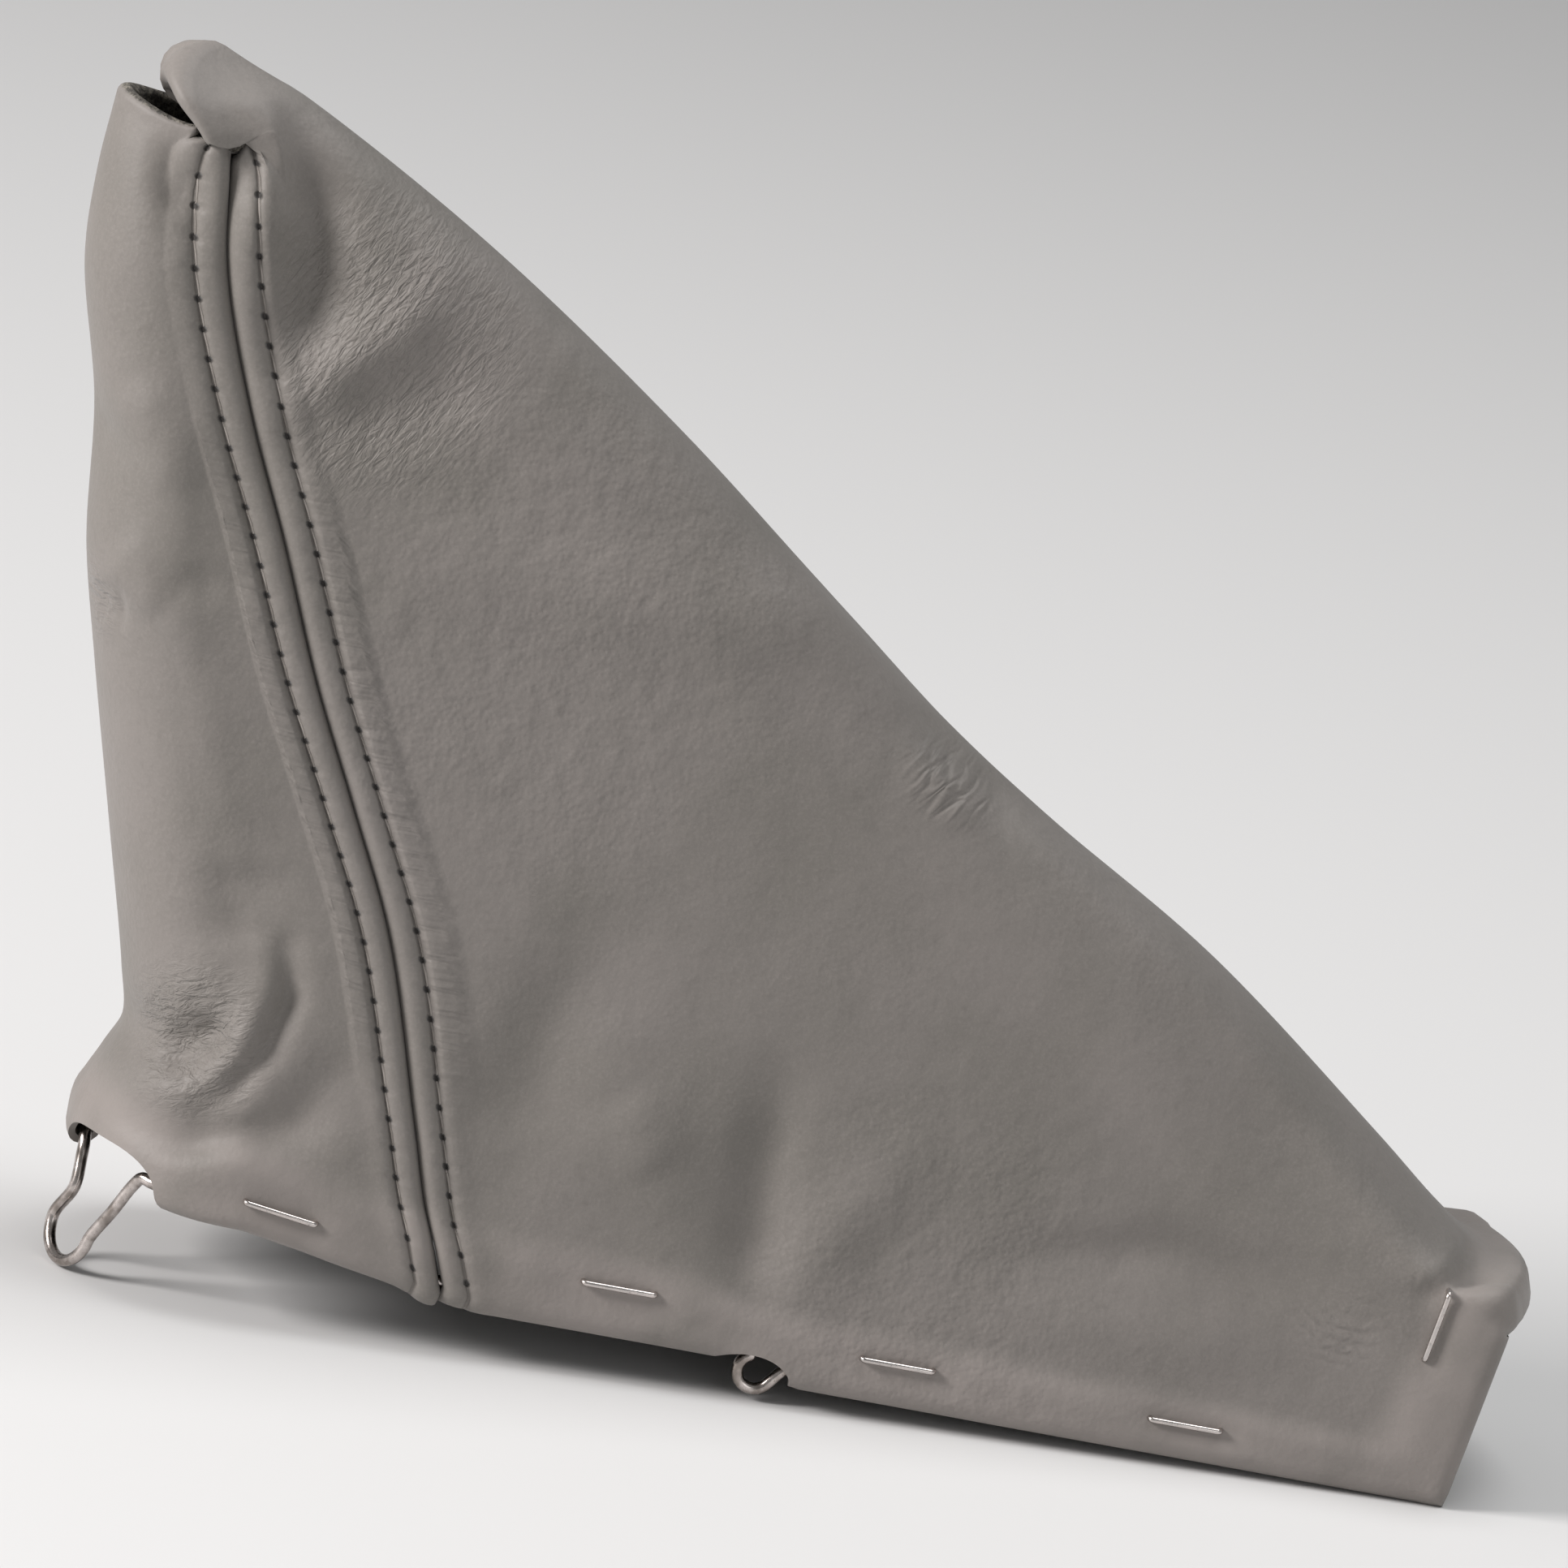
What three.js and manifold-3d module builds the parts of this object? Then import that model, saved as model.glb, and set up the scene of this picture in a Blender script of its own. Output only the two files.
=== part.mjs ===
// Handbrake boot: a leather gaiter sewn from two panels round a bent wire frame.
// Millimetres, +Z up. +X runs along the boot to its low front end, -Y is the near side.
// Inside this file X = 0 is a little in front of the foot of the front posts, and the
// finished group is moved so that its origin is the bottom centre of its bounding box.
import * as THREE from "three";
import { mergeVertices } from "three/addons/utils/BufferGeometryUtils.js";
import Module from "manifold-3d";

const wasm = await Module();
wasm.setup();

// Driving dimensions: stock and clearances
const leather = 1.2; // thickness of one layer of leather
const clearance = 0.3; // air between pieces that lie against each other
const wireDiameter = 2.0; // spring steel of the base frame
const hemSlack = 0.8; // the hem folds loosely round that wire
const stapleWire = 1.0;
const stapleCrown = 12.7; // outside width of a staple

// Driving dimensions: base frame, measured to the middle of its wire
const rearArcRadius = 27; // half width of the round rear end
const rearArcX = -198; // centre of that round end
const frontHalfWidth = 21; // half width between the front posts
const rearWireHeight = 20.6;
const rearRailEndHeight = 18.2; // height where the round end meets the rails
const rearRailRun = 8; // over this length from there
const rearRailDrop = 1.6; // the rail falls by this much
const middleRailX = -160; // the rail is bent here, behind the seam
const middleRailHeight = 10.6;
const railBend = 30; // radius of the rail's shallow bends
const eyeletX = -113.3; // centre of the eyelet below each rail
const eyeletRadius = 2.9;
const eyeletApproach = 5; // the rail starts to bend this far behind an eyelet's centre
const eyeletExit = 7; // and is straight again this far in front of it
const eyeletNeck = 2.2; // behind its centre, the wire starts to dip into an eyelet
const eyeletNeckDrop = 0.8; // and by this much there
const eyeletReturn = 4.4; // in front of its centre, the wire is back in the hem
const eyeletClearance = 0.8; // lowest point of an eyelet over the rest plane
const railStepHeight = 3.4; // the rail is this much lower in front of its eyelet
const railFall = 3.4; // and falls by this much more to the foot of the front posts
const frontRailHeight = 2.5; // at the foot of the front posts
const postX = -1.2; // foot of the front posts
const postHeight = 29; // front posts, from the rail to the crossbar
const postLean = 4.4; // how far the posts lean forward over that height
const crossbarBow = 5.4; // how far the crossbar is bent forward at its middle
const frameBend = 4; // bend radius at the corners of the frame

// Driving dimensions: hanging wire tongue at the rear end
const tongueFarAngle = 11; // degrees round the rear arc where its far leg leaves
const tongueNearAngle = 52; // and where its near leg comes back
const tongueWidth = 11.4; // between the middles of its two legs, low down
const tongueShift = 3.8; // its tip is swung this far towards the far side
const tongueLean = 0.26; // outward travel for each millimetre down

// Driving dimensions: hem, rim and seams
const hemFlap = 12; // how far the turned-in leather reaches up inside
const hemPocket = 7; // height over the wire where the two layers meet again
const cornerFlap = 2.6; // the turned-in leather is trimmed at the front corners
const postFlap = 15; // and reaches further in at the posts and the crossbar
const hemHold = 5; // the hem stands straight up to this height over its wire
const hemFade = 10; // and has turned into the wall over this much more
const looseHold = 2.5; // both are shorter at the round end and at the crossbar
const looseFade = 6;
const cornerTurn = 42; // degrees; the hem is folded to a point at the foot of the posts
const cornerSharpness = 0.8; // 1 would be a sharp point
const cornerFade = 12; // height over which that fold runs out
const rimFlap = 8; // turned-in leather at the mouth
const rimRoll = 7.6; // inside width of the rolled lip above the ridge
const rollSpread = 0.55; // share of the way from seam to ridge over which it opens
const seamBand = 4.6; // the stitched strip on each side of a seam
const seamSwell = 0.7; // how far that strip stands out
const seamGroove = 0.9; // open joint between the two panels
const railStaples = [
  // along each rail: x, and height over the hem's lower edge
  [-195.5, 5.9], [-136.4, 9.2], [-87.2, 9.2], [-38.3, 9.2],
];
const stapleLeg = 3.8; // a clenched leg's turned-in end
const frontPostStaple = 28.5; // height of the staple beside each front post
const frontStapleAway = 12.4; // how far that staple lies behind the post's hem edge
const rearStapleAngle = 34; // degrees round the far half of the rear arc
const rearStapleHeight = 9.2;
const frameJoint = 0.5; // the two ends of the frame wire face each other at the crossbar
const wireSlack = 0.25; // room cut round a wire where it passes through leather
const tongueNotchWidth = 27;
const tongueNotchHeight = 8;
const tongueNotchDrop = 1; // centre of the notch under the hem's lower edge
const tongueNotchTurn = 3; // degrees from the tongue's middle towards the near side
const eyeletNotchWidth = 14.4;
const eyeletNotchHeight = 4.6;
const eyeletNotchShift = -1.6;
const eyeletNotchDrop = 2.6; // centre of the notch under the hem's lower edge

// Driving dimensions: bag
const wallTopWidth = 12.2; // half width of the mouth
const rearLine = [
  // outline of the back of the bag: x, z from hem to mouth
  [-228, 20.6], [-227.2, 27], [-224.4, 33], [-222, 39], [-223.6, 48], [-229.2, 70],
  [-236.4, 98], [-240.6, 116], [-243.2, 139], [-248.4, 161], [-248.8, 175], [-247.8, 188],
];
const frontLine = [
  // outline of the front ridge: x, z from crossbar to apex
  [11.4, 32.4], [8.4, 35.4], [2.5, 37.6], [-4, 41.8], [-18, 53.2], [-50, 77.8], [-80, 96],
  [-104, 112.2], [-150, 148.6], [-187, 174.2], [-220, 192.7], [-232.4, 197.9],
];
const seamLine = [
  // line of each side seam: x, z from hem to mouth
  [-164.2, 9], [-169.8, 22.5], [-174.4, 37.4], [-183.3, 65.7], [-192.4, 85], [-201.7, 104],
  [-210.7, 125.6], [-218.9, 144], [-226.2, 165], [-229.4, 186],
];
const mouthSkew = 8; // the sides of the mouth are pulled forward
const mouthDip = 6; // and down, under its front and back lips

// Soft folds in the leather: a line from one point to another on the side view, its
// half width, and how far the leather stands out (or, when negative, sinks in).
const folds = [
  { from: [-233, 187], to: [-222, 150], width: 5.5, height: 2.6 }, // fold beside the mouth
  { from: [-219, 176], to: [-209, 143], width: 6, height: -2.8 }, // valley next to it
  { from: [-214, 152], to: [-196, 146], width: 4, height: 1.4 },
  { from: [-239, 186], to: [-235, 164], width: 3.5, height: -2.2 }, // valley in the back panel
  { from: [-238, 118], to: [-226, 112], width: 6, height: 1.6 },
  { from: [-250, 104], to: [-226, 98], width: 5, height: -0.9 }, // pinch below it
  { from: [-214, 78], to: [-206, 56], width: 8, height: -2.2 },
  { from: [-200, 70], to: [-196, 52], width: 5, height: 1.6 },
  { from: [-216, 38], to: [-204, 45], width: 5.5, height: -3.6 }, // crease over the rear hem
  { from: [-206, 33], to: [-190, 40], width: 5, height: -1.8 },
  { from: [-122, 14], to: [-118, 40], width: 7, height: -1.5 },
  { from: [-104, 24], to: [-60, 30], width: 9, height: 1.2 },
  { from: [-30, 24], to: [-8, 30], width: 5, height: -2.2 }, // puckers by the front posts
  { from: [-26, 34], to: [-6, 40], width: 4.5, height: 1.4 },
  { from: [-100, 108], to: [-92, 98], width: 4, height: -1.2 },
];

// How finely the soft panels are divided
const mainColumns = 19; // in half of the main panel
const backColumns = 9; // in half of the back panel
const wallRows = 11;
const rowCrowding = 1.3; // rows of the wall lie closer together near the hem
const hemSteps = 4;
const mouthSteps = 3;

const wireRadius = wireDiameter / 2;
const channel = wireDiameter + 2 * hemSlack; // air between the layers round the wire
const hemReach = wireRadius + hemSlack + leather; // middle of the wire to the outer face

const vec = (x, y, z) => new THREE.Vector3(x, y, z);
const smooth = (t) => THREE.MathUtils.smoothstep(t, 0, 1);
const mix = THREE.MathUtils.lerp;
const radians = THREE.MathUtils.degToRad;

// Replaces the corners of a chain of points by arcs of about the given radius.
function roundCorners(points, radius, steps) {
  const out = [points[0]];
  for (let i = 1; i < points.length - 1; i += 1) {
    const before = points[i - 1].clone().sub(points[i]);
    const after = points[i + 1].clone().sub(points[i]);
    const turn = Math.PI - before.angleTo(after);
    const cut = Math.min(radius * Math.tan(turn / 2), before.length() / 2.1, after.length() / 2.1);
    const bend = new THREE.QuadraticBezierCurve3(
      points[i].clone().addScaledVector(before.normalize(), cut),
      points[i],
      points[i].clone().addScaledVector(after.normalize(), cut),
    );
    out.push(...bend.getPoints(steps));
  }
  out.push(points.at(-1));
  return out;
}

const rearTurn = (degrees, height) => {
  const a = radians(degrees);
  return vec(rearArcX - rearArcRadius * Math.cos(a), -rearArcRadius * Math.sin(a), height);
};
const rearHeight = (degrees) => mix(rearWireHeight, rearRailEndHeight, smooth(degrees / 90));
const railY = (x) => -mix(rearArcRadius, frontHalfWidth, (x - rearArcX) / -rearArcX);
const railPoint = (x, z) => vec(x, railY(x), z);
const postFoot = vec(postX, -frontHalfWidth, frontRailHeight);
const postTop = vec(postX + postLean, -frontHalfWidth, frontRailHeight + postHeight);
const eyeletRailHeight = frontRailHeight + railFall + railStepHeight;

// Middle of the wire round half of the frame, from the rear to the middle of the crossbar.
function halfFrame(rearStops, eyelet) {
  const eyeletZ = eyeletClearance + wireRadius + eyeletRadius;
  const front = eyeletRailHeight - railStepHeight;
  const around = (degrees) =>
    railPoint(
      eyeletX + eyeletRadius * Math.cos(radians(degrees)),
      eyeletZ + eyeletRadius * Math.sin(radians(degrees)),
    );
  const bent = roundCorners(
    [
      rearTurn(90, rearRailEndHeight),
      railPoint(rearArcX + rearRailRun, rearRailEndHeight - rearRailDrop),
      railPoint(middleRailX, middleRailHeight),
      railPoint(eyeletX - eyeletApproach, eyeletRailHeight),
    ],
    railBend,
    3,
  );
  if (eyelet) {
    bent.push(railPoint(eyeletX - eyeletNeck, eyeletRailHeight - eyeletNeckDrop));
    bent.push(railPoint(eyeletX - eyeletNeck / 2, eyeletRailHeight - 2 * eyeletNeckDrop));
    for (let degrees = 115; degrees <= 315; degrees += 25) bent.push(around(degrees));
    bent.push(railPoint(eyeletX + eyeletReturn, front - clearance));
  }
  const crossbar = [];
  for (const share of [0.35, 0.7, 1]) {
    crossbar.push(
      vec(
        postX + postLean + crossbarBow * Math.sin((share * Math.PI) / 2),
        -frontHalfWidth * (1 - share),
        postTop.z,
      ),
    );
  }
  const nose = roundCorners(
    [
      railPoint(eyeletX + eyeletExit, front),
      railPoint(postX, frontRailHeight),
      postTop,
      ...crossbar,
    ],
    frameBend,
    4,
  );
  return [...rearStops, ...bent.slice(1), ...nose];
}

const plainRear = [0, 15, 30, 45, 60, 75, 90].map((a) => rearTurn(a, rearHeight(a)));

// The tongue: a loop of the same wire that leaves the rear arc, hangs down and comes back.
function tongueRear() {
  const far = rearTurn(tongueFarAngle, rearHeight(tongueFarAngle));
  const near = rearTurn(tongueNearAngle, rearHeight(tongueNearAngle));
  const along = near.clone().sub(far).setZ(0).normalize();
  const out = vec(along.y, -along.x, 0);
  if (out.x > 0) out.negate();
  const middle = far.clone().add(near).multiplyScalar(0.5);
  const drop = middle.z - wireDiameter / 2;
  const half = tongueWidth / 2;
  const place = (across, down) =>
    middle
      .clone()
      .addScaledVector(along, across)
      .addScaledVector(out, down * tongueLean)
      .setZ(middle.z - down);
  const chain = [
    place(-half - tongueShift + 0.4, 1.2),
    place(-half - tongueShift + 1.2, 3.4),
    place(-half - tongueShift + 2.4, drop * 0.42),
  ];
  for (let degrees = 0; degrees <= 180; degrees += 22.5) {
    const a = radians(degrees);
    chain.push(place(-tongueShift - half * Math.cos(a), drop - half + half * Math.sin(a)));
  }
  chain.push(
    place(half - tongueShift + 3, drop * 0.4),
    place(half - tongueShift + 5.4, 2.4),
    place(half - tongueShift + 7, 0.6),
  );
  return [
    rearTurn(0, rearHeight(0)),
    rearTurn(tongueFarAngle * 0.7, rearHeight(tongueFarAngle)),
    ...chain,
    rearTurn(tongueNearAngle + 3, rearHeight(tongueNearAngle)),
    rearTurn(72, rearHeight(72)),
    rearTurn(90, rearHeight(90)),
  ];
}

// A round wire along a chain of points, closed at both ends.
function wireAlong(points, diameter, sides) {
  const ring = [];
  let side = null;
  points.forEach((point, i) => {
    const ahead = (points[i + 1] ?? point).clone().sub(point);
    const behind = point.clone().sub(points[i - 1] ?? point);
    const direction = ahead.normalize().add(behind.normalize()).normalize();
    side ??= Math.abs(direction.z) > 0.8 ? vec(1, 0, 0) : vec(0, 0, 1);
    side = side.clone().addScaledVector(direction, -side.dot(direction)).normalize();
    const other = direction.clone().cross(side);
    const loop = [];
    for (let k = 0; k < sides; k += 1) {
      const a = (2 * Math.PI * k) / sides;
      const r = diameter / 2;
      loop.push(
        point
          .clone()
          .addScaledVector(side, r * Math.cos(a))
          .addScaledVector(other, r * Math.sin(a)),
      );
    }
    ring.push(loop);
  });
  return closedSkin(ring, points[0], points.at(-1));
}

// Joins rings of equal length into one closed skin, with a fan over each end.
function closedSkin(rings, first, last) {
  const positions = [];
  const triangle = (...corners) => corners.forEach((p) => positions.push(p.x, p.y, p.z));
  for (let i = 0; i + 1 < rings.length; i += 1) {
    rings[i].forEach((a, k) => {
      const next = (k + 1) % rings[i].length;
      triangle(a, rings[i][next], rings[i + 1][next]);
      triangle(a, rings[i + 1][next], rings[i + 1][k]);
    });
  }
  rings[0].forEach((a, k) => triangle(a, first, rings[0][(k + 1) % rings[0].length]));
  const end = rings.at(-1);
  end.forEach((a, k) => triangle(a, end[(k + 1) % end.length], last));
  return new THREE.BufferGeometry().setAttribute(
    "position",
    new THREE.Float32BufferAttribute(positions, 3),
  );
}

// The base line of the leather: the wire's route with the outward direction at each point.
const baseRoute = halfFrame(plainRear, false);
const routeLengths = [0];
baseRoute.forEach((point, i) => {
  if (i > 0) routeLengths.push(routeLengths[i - 1] + point.distanceTo(baseRoute[i - 1]));
});
const routeLength = routeLengths.at(-1);

function onRoute(share) {
  const want = THREE.MathUtils.clamp(share, 0, 1) * routeLength;
  let i = 1;
  while (i < baseRoute.length - 1 && routeLengths[i] < want) i += 1;
  const part = (want - routeLengths[i - 1]) / (routeLengths[i] - routeLengths[i - 1]);
  return baseRoute[i - 1].clone().lerp(baseRoute[i], part);
}

// Share of the base line at its nearest point to a place on the frame.
function shareNear(place) {
  let best = 0;
  for (let i = 0; i <= 600; i += 1) {
    const share = i / 600;
    if (onRoute(share).distanceTo(place) < onRoute(best).distanceTo(place)) best = share;
  }
  return best;
}

const footShare = shareNear(postFoot);
const postShare = shareNear(postTop);

function outward(share) {
  const point = onRoute(share);
  if (point.x < rearArcX) return vec(point.x - rearArcX, point.y, 0).normalize();
  const turned = smooth((frontHalfWidth + point.y) / 5) * smooth((point.z - postTop.z + 8) / 8);
  return vec(0.95 * turned, -(1 - turned), 0.3 * turned).normalize();
}

const curve2 = (points) =>
  new THREE.CatmullRomCurve3(points.map(([x, z]) => vec(x, 0, z)), false, "centripetal");
const rearCurve = curve2(rearLine);
const frontCurve = curve2(frontLine);
const seamCurve = curve2(seamLine);

// Powers by which the base's outline runs out up the wall, sooner above the crossbar.
const baseSettle = 2;
const crossbarSettle = 7;

// Length of a quarter of an oval, about this many times its straight chord.
const quarterTurn = 1.125;

// One level outline of the bag at height share t: half of a rounded wedge, from the back
// (share 0) to the front ridge (share 1).
function levelPoint(share, t) {
  const back = rearCurve.getPointAt(t);
  const front = frontCurve.getPointAt(t);
  const chord = front.clone().sub(back);
  const length = chord.length();
  const backWidth = mix(rearArcRadius + hemReach, wallTopWidth, t ** 0.9);
  const ridgeWidth = mix(frontHalfWidth + hemReach, wallTopWidth, t ** 0.6);
  const backDepth = Math.min(mix(rearArcRadius, 10, t ** 0.7), length * 0.5);
  const ridgeDepth = Math.min(mix(6, 26, smooth(t * 6)), length * 0.5);
  const backLength = quarterTurn * Math.hypot(backWidth, backDepth);
  const ridgeLength = quarterTurn * Math.hypot(ridgeWidth, ridgeDepth);
  const sideLength = length - backDepth - ridgeDepth;
  const run = share * (backLength + sideLength + ridgeLength);
  let along;
  let across;
  if (run < backLength) {
    const a = ((run / backLength) * Math.PI) / 2;
    along = backDepth * (1 - Math.cos(a));
    across = backWidth * Math.sin(a);
  } else if (run < backLength + sideLength) {
    const part = (run - backLength) / sideLength;
    along = backDepth + sideLength * part;
    across = mix(backWidth, ridgeWidth, part);
  } else {
    const a = (((run - backLength - sideLength) / ridgeLength) * Math.PI) / 2;
    along = length - ridgeDepth + ridgeDepth * Math.sin(a);
    across = ridgeWidth * Math.cos(a);
  }
  const point = back.addScaledVector(chord.normalize(), along);
  point.y = -across;
  return point;
}

// Outer face of the bag before its hem, seams and folds: share round, t upwards.
function bagPoint(share, t) {
  const base = onRoute(share).addScaledVector(outward(share), hemReach);
  const point = levelPoint(share, t);
  const settle = mix(baseSettle, crossbarSettle, smooth((share - 0.82) / 0.18));
  point.addScaledVector(base.sub(levelPoint(share, 0)), (1 - t) ** settle);
  const pull = Math.sin(Math.PI * share) ** 2 * t ** 5;
  point.x += mouthSkew * pull;
  point.z -= mouthDip * pull;
  return point;
}

// Half of the way round the bag at height share t, in millimetres.
function halfGirth(t) {
  let length = 0;
  let before = bagPoint(0, t);
  for (let i = 1; i <= 24; i += 1) {
    const point = bagPoint(i / 24, t);
    length += point.distanceTo(before);
    before = point;
  }
  return length;
}

// Place along X of the seam at a height.
const seamSpots = seamCurve.getPoints(80);
function seamX(z) {
  const i = seamSpots.findIndex((spot) => spot.z > z);
  if (i < 0) return seamSpots.at(-1).x;
  if (i === 0) return seamSpots[0].x;
  const [below, above] = [seamSpots[i - 1], seamSpots[i]];
  return mix(below.x, above.x, (z - below.z) / (above.z - below.z));
}

// Share round the bag where the seam lies at height share t.
function findSeam(t) {
  let low = 0.12;
  let high = 0.64;
  for (let i = 0; i < 18; i += 1) {
    const share = (low + high) / 2;
    const point = bagPoint(share, t);
    if (point.x < seamX(point.z)) low = share;
    else high = share;
  }
  return (low + high) / 2;
}

const levels = 40;
const leanReach = 18; // the hem leans as the wall does up to this height
const levelTable = (rule) => Array.from({ length: levels + 1 }, (_, i) => rule(i / levels));
const readTable = (table, t) => {
  const place = THREE.MathUtils.clamp(t, 0, 1) * levels;
  const i = Math.min(Math.floor(place), levels - 1);
  return mix(table[i], table[i + 1], place - i);
};
const seamTable = levelTable(findSeam);
const girthTable = levelTable(halfGirth);

// How far the folds lift the leather at a point of the side view.
function foldHeight(point) {
  let height = 0;
  for (const fold of folds) {
    const [ax, az] = fold.from;
    const dx = fold.to[0] - ax;
    const dz = fold.to[1] - az;
    const run = THREE.MathUtils.clamp(
      ((point.x - ax) * dx + (point.z - az) * dz) / (dx * dx + dz * dz),
      0,
      1,
    );
    const away = Math.hypot(point.x - ax - run * dx, point.z - az - run * dz) / fold.width;
    height += fold.height * Math.exp(-away * away);
  }
  return height;
}

// How far the hem stands beyond its wire where it is folded to a point at the foot of the posts.
function cornerReach(share) {
  const away = (Math.abs(share - footShare) * routeLength) / (frameBend * radians(cornerTurn));
  const angle = radians(cornerTurn) * (1 - Math.min(away, 1));
  return (frameBend + hemReach) * (1 / Math.cos(angle) - 1) * cornerSharpness;
}

// One column of the wall: the share it keeps at each height, its distance from the seam,
// a way to turn a reach in millimetres into a height share, and how its hem stands.
function wallColumn(shareAt, seamAway, part = 0) {
  const heights = [0];
  for (let i = 1; i <= levels; i += 1) {
    const here = bagPoint(shareAt(i / levels), i / levels);
    const below = bagPoint(shareAt((i - 1) / levels), (i - 1) / levels);
    heights.push(heights[i - 1] + here.distanceTo(below));
  }
  const total = heights.at(-1);
  const heightShare = (reach) => {
    let i = 1;
    while (i < levels && heights[i] < reach) i += 1;
    const part = (reach - heights[i - 1]) / (heights[i] - heights[i - 1]);
    return THREE.MathUtils.clamp((i - 1 + part) / levels, 0, 1);
  };
  const share = shareAt(0);
  const base = onRoute(share);
  const hemOut = outward(share);
  const along = onRoute(Math.min(share + 0.006, 1)).sub(onRoute(Math.max(share - 0.006, 0)));
  if (share > 1 - 1e-6 || share < 1e-6) along.set(0, share > 0.5 ? 1 : -1, 0);
  const down = along.cross(hemOut).normalize();
  const above = heightShare(leanReach);
  const lean = bagPoint(shareAt(above), above).sub(bagPoint(share, 0));
  lean.addScaledVector(hemOut, -lean.dot(hemOut)).normalize();
  const atCrossbar = smooth((base.z - postTop.z + 6) / 6) * smooth((base.y + frontHalfWidth) / 5);
  const loose = Math.max(atCrossbar, smooth((rearArcX - base.x) / 14));
  const corner = cornerReach(share);
  return { shareAt, seamAway, part, total, heightShare, base, hemOut, down, lean, loose, corner };
}

function facing(shareAt, t) {
  const share = shareAt(t);
  const step = 0.004;
  const low = Math.max(t - 0.01, 0);
  const high = Math.min(t + 0.01, 1);
  const up = bagPoint(shareAt(high), high).sub(bagPoint(shareAt(low), low));
  const ahead = Math.min(share + step, 1);
  const behind = Math.max(share - step, 0);
  const round = bagPoint(ahead, t).sub(bagPoint(behind, t));
  const out = round.cross(up).normalize();
  if (share > 1 - 1e-6 || share < 1e-6) out.setY(0).normalize();
  return out;
}

// Point and outward direction of the wall at a reach (in millimetres) above the hem.
function wallAt(column, reach) {
  const { shareAt, seamAway, hemOut, down, loose } = column;
  const t = column.heightShare(Math.min(reach, column.total));
  const free = bagPoint(shareAt(t), t);
  const out = facing(shareAt, t);
  const swell = seamSwell * (1 - smooth((seamAway - seamBand + 1) / 1.6)) * smooth((reach - 2) / 12);
  const hold = mix(hemHold, looseHold, loose);
  const inHem = 1 - smooth((reach - hold) / mix(hemFade, looseFade, loose));
  const folded = foldHeight(free) * (1 - inHem) * smooth((column.total - reach) / 10);
  free.addScaledVector(out, folded + swell);
  const straight = column.base.clone().addScaledVector(hemOut, hemReach + swell);
  straight.addScaledVector(column.lean, reach);
  const point = free.lerp(straight, inHem);
  point.addScaledVector(down, column.corner * (1 - smooth(reach / cornerFade)));
  return { point, out: out.lerp(hemOut, inHem).normalize(), down };
}

// The chain of pairs (grain face, flesh face) that a strip of leather follows from the
// free edge inside the hem, round the wire, up the wall, over the mouth and down again.
function leatherStrip(column) {
  const strip = [];
  const cornerAway = Math.min(column.base.distanceTo(postFoot), column.base.distanceTo(postTop));
  const fullFlap = column.base.x > postX + postLean / 4 ? postFlap : hemFlap;
  const flap = mix(cornerFlap, fullFlap, smooth((cornerAway - 5) / 10));
  const gapAt = (reach) => mix(channel, clearance, smooth(reach / hemPocket));
  for (const part of [1, 0.72, 0.46, 0.22]) {
    const reach = flap * part;
    const { point, out } = wallAt(column, reach);
    const inner = leather + gapAt(reach);
    strip.push([
      point.clone().addScaledVector(out, -inner - leather),
      point.clone().addScaledVector(out, -inner),
    ]);
  }
  const foot = wallAt(column, 0);
  const middle = foot.point.clone().addScaledVector(foot.out, -leather - channel / 2);
  for (let i = hemSteps; i >= 1; i -= 1) {
    const a = (i / (hemSteps + 1)) * Math.PI;
    const ray = foot.out
      .clone()
      .multiplyScalar(Math.cos(a))
      .addScaledVector(foot.down, Math.sin(a));
    strip.push([
      middle.clone().addScaledVector(ray, channel / 2 + leather),
      middle.clone().addScaledVector(ray, channel / 2),
    ]);
  }
  const doubled = column.seamAway < seamBand + 0.5;
  const wallStart = hemFlap + 4;
  const wallEnd = column.total - rimFlap - 2;
  const reaches = [0, 4, 8, hemFlap];
  for (let i = 0; i < wallRows; i += 1) {
    reaches.push(mix(wallStart, wallEnd, (i / (wallRows - 1)) ** rowCrowding));
  }
  reaches.push(column.total - rimFlap / 2);
  for (const reach of reaches) {
    const { point, out } = wallAt(column, reach);
    const inWall = reach > wallStart - 1 && reach < wallEnd + 1;
    const thick = doubled && inWall ? 2 * leather : leather;
    strip.push([point, point.clone().addScaledVector(out, -thick)]);
  }
  const mouth = wallAt(column, column.total);
  const below = wallAt(column, column.total - 1.5).point;
  const up = mouth.point.clone().sub(below).normalize();
  const roll = mix(clearance, rimRoll, smooth(column.part / rollSpread));
  const fold = mouth.point.clone().addScaledVector(mouth.out, -leather - roll / 2);
  for (let i = 0; i <= mouthSteps + 1; i += 1) {
    const a = (i / (mouthSteps + 1)) * Math.PI;
    const ray = mouth.out
      .clone()
      .multiplyScalar(Math.cos(a))
      .addScaledVector(up, Math.sin(a));
    strip.push([
      fold.clone().addScaledVector(ray, roll / 2 + leather),
      fold.clone().addScaledVector(ray, roll / 2),
    ]);
  }
  for (const part of [0.5, 1]) {
    const { point, out } = wallAt(column, column.total - rimFlap * part);
    strip.push([
      point.clone().addScaledVector(out, -2 * leather - roll),
      point.clone().addScaledVector(out, -leather - roll),
    ]);
  }
  return strip;
}

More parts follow.
